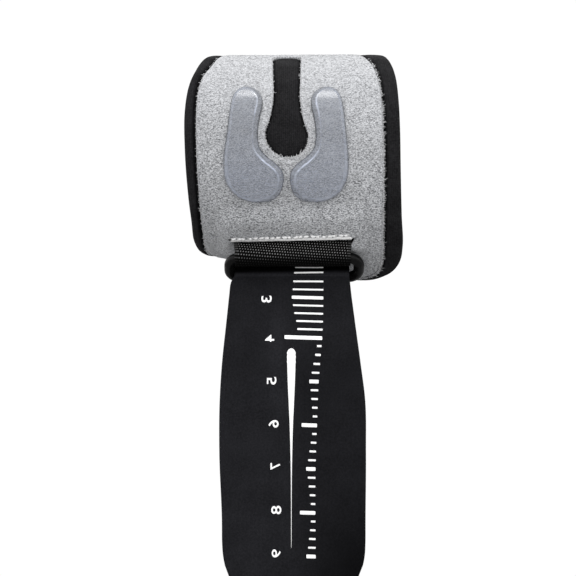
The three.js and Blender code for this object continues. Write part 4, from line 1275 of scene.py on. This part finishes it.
# hem: a thread along the slit's lip; stitches: uneven arches above it; box: rows and columns of arches
def makeSewing():
    s, p = sewing, pilePanel
    rng = np.random.default_rng(s["seed"])
    x = np.linspace(p["slitLeft"] - 0.3, p["slitRight"] - 0.6, 120)
    wander = s["hemWander"] * unevenness(x, 0 * x, 1.2, 4.0, 3)
    hem = formPoint(slitAlong(x) + 0.1 + wander, x, panelOutside + p["liftHeight"] - s["hemSunk"])
    toEnd = np.minimum(x - x[0], x[-1] - x) + 0.001
    size = s["hemRound"] * roundOff(toEnd, s["hemEnds"]) * (1 + 0.5 * wander)
    hemPiece = makePiece("slit_hem", *tubes(hem[None], size[None], 14), plain["threadPale"])
    start = np.arange(p["slitLeft"] + 0.1, p["slitRight"] - 1.4, s["stitchPitch"])
    start = start + rng.normal(0, s["stitchWander"], len(start))
    between = lambda limits: rng.uniform(*limits, len(start))
    end = start + between(s["stitchLength"])
    startAlong = slitAlong(start) + between(s["stitchStart"])
    endAlong = slitAlong(end) + between(s["stitchEnd"])
    lifted = panelOutside + panelLift(startAlong, start)
    paths = stitchPaths(start, startAlong, end, endAlong, lifted, between(s["stitchArch"]))
    size = s["stitchRound"] * (0.75 + 0.25 * np.sin(np.pi * np.linspace(0, 1, 7)))[None]
    stitchPiece = makePiece("slit_stitches", *tubes(paths, size, 7), plain["threadPale"])
    face = wrist["baseWall"] + wrist["gap"] + pullStrap["wall"] + s["boxLift"]
    sides = np.arange(s["boxLow"], s["boxHigh"] - 1.5, s["boxPitch"])
    across = np.arange(-s["boxSide"], s["boxSide"] - 1.5, s["boxPitch"])
    runs = []
    for edge in (-s["boxSide"], s["boxSide"]):
        runs.append((0 * sides + edge, sides, 0 * sides + edge, sides + s["boxStitch"]))
    for level in (s["boxLow"], (s["boxLow"] + s["boxHigh"]) / 2, s["boxHigh"]):
        runs.append((across, 0 * across + level, across + s["boxStitch"], 0 * across + level))
    paths = stitchPaths(*(np.concatenate(column) for column in zip(*runs)), face, s["boxArch"])
    boxPiece = makePiece("strap_stitches", *tubes(paths, s["boxRound"], 7), plain["threadBlack"])
    tail = np.array([p["slitLeft"] - 0.45])
    tailAlong = slitAlong(tail) + 0.75
    lifted = panelOutside + panelLift(tailAlong, tail)
    path = stitchPaths(tail, tailAlong, tail + 0.35, tailAlong + 0.1, lifted, s["knotArch"])
    knotPiece = makePiece("slit_knot", *tubes(path, s["knotRound"], 7), plain["threadBlack"])
    return hemPiece, stitchPiece, boxPiece, knotPiece


hemPiece, stitchPiece, boxPiece, knotPiece = makeSewing()
smallPieces = [hemPiece, stitchPiece, boxPiece, knotPiece, platePiece, hookPiece]
print("sewing and hooks:", faceCount(*smallPieces), "faces")

# studio
studio = {
    "floorLevel": -0.1145, "floorTone": 0.29, "floorHalf": 3.0, "glow": 1.02, "skyLow": 0.88, "skyHigh": 1.75,
    "keyPower": 0.62, "keyPlace": (0.005, -0.22, 0.66), "keyAim": (0, -0.02, -0.02), "keySize": 0.11,
    "eye": (-0.00126, -0.778, -0.0297), "lens": 204.4, "sensor": 36.0, "clip": (0.01, 20.0),
}


# pale floor and sky, white where the camera sees them; one small lamp above; the photograph's camera
def makeStudio():
    s = studio
    white = (1, 1, 1, 1)
    sockets = {"Roughness": 0.9, "Base Color": grey(s["floorTone"])}
    material, tree, shader = startMaterial("paleFloor", sockets)
    glow = addNode(tree, "ShaderNodeEmission", {"Color": white, "Strength": s["glow"]})
    seen = addNode(tree, "ShaderNodeLightPath").outputs["Is Camera Ray"]
    mix = addNode(tree, "ShaderNodeMixShader", {0: seen, 1: shader.outputs[0], 2: glow.outputs[0]})
    tree.links.new(mix.outputs[0], tree.nodes["Material Output"].inputs["Surface"])
    line = np.linspace(-s["floorHalf"], s["floorHalf"], 9)
    corners = np.stack(np.broadcast_arrays(line, line[:, None], s["floorLevel"]), -1)
    mesh = bpy.data.meshes.new("floor")
    mesh.from_pydata(corners.reshape(-1, 3).tolist(), [], gridFaces(9, 9).tolist())
    mesh.materials.append(material)
    floor = addObject("floor", mesh)
    world = bpy.data.worlds.new("paleRoom")
    bpy.context.scene.world = world
    world.use_nodes = True
    tree = world.node_tree
    tree.nodes.clear()
    seen = addNode(tree, "ShaderNodeLightPath").outputs["Is Camera Ray"]
    height = heightOf(tree, addNode(tree, "ShaderNodeTexCoord").outputs["Generated"])
    lit = mapRange(tree, height, -1, 1, s["skyLow"], s["skyHigh"])
    unseen = mathNode(tree, "SUBTRACT", 1.0, seen)
    strength = plus(tree, times(tree, seen, s["glow"]), times(tree, unseen, lit))
    sky = addNode(tree, "ShaderNodeBackground", {"Color": white, "Strength": strength})
    tree.links.new(sky.outputs[0], addNode(tree, "ShaderNodeOutputWorld").inputs["Surface"])
    light = bpy.data.lights.new("keyLight", "AREA")
    light.energy, light.size = s["keyPower"], s["keySize"]
    lamp = addObject("keyLight", light)
    lamp.location = s["keyPlace"]
    lamp.rotation_euler = (Vector(s["keyAim"]) - Vector(s["keyPlace"])).to_track_quat("-Z", "Y").to_euler()
    lens = bpy.data.cameras.new("camera")
    lens.lens, lens.sensor_width, (lens.clip_start, lens.clip_end) = s["lens"], s["sensor"], s["clip"]
    camera = addObject("camera", lens)
    camera.location, camera.rotation_euler = s["eye"], (math.pi / 2, 0, 0)
    bpy.context.scene.camera = camera
    bpy.context.scene.view_settings.view_transform = "Standard"


makeStudio()
print("studio ready")
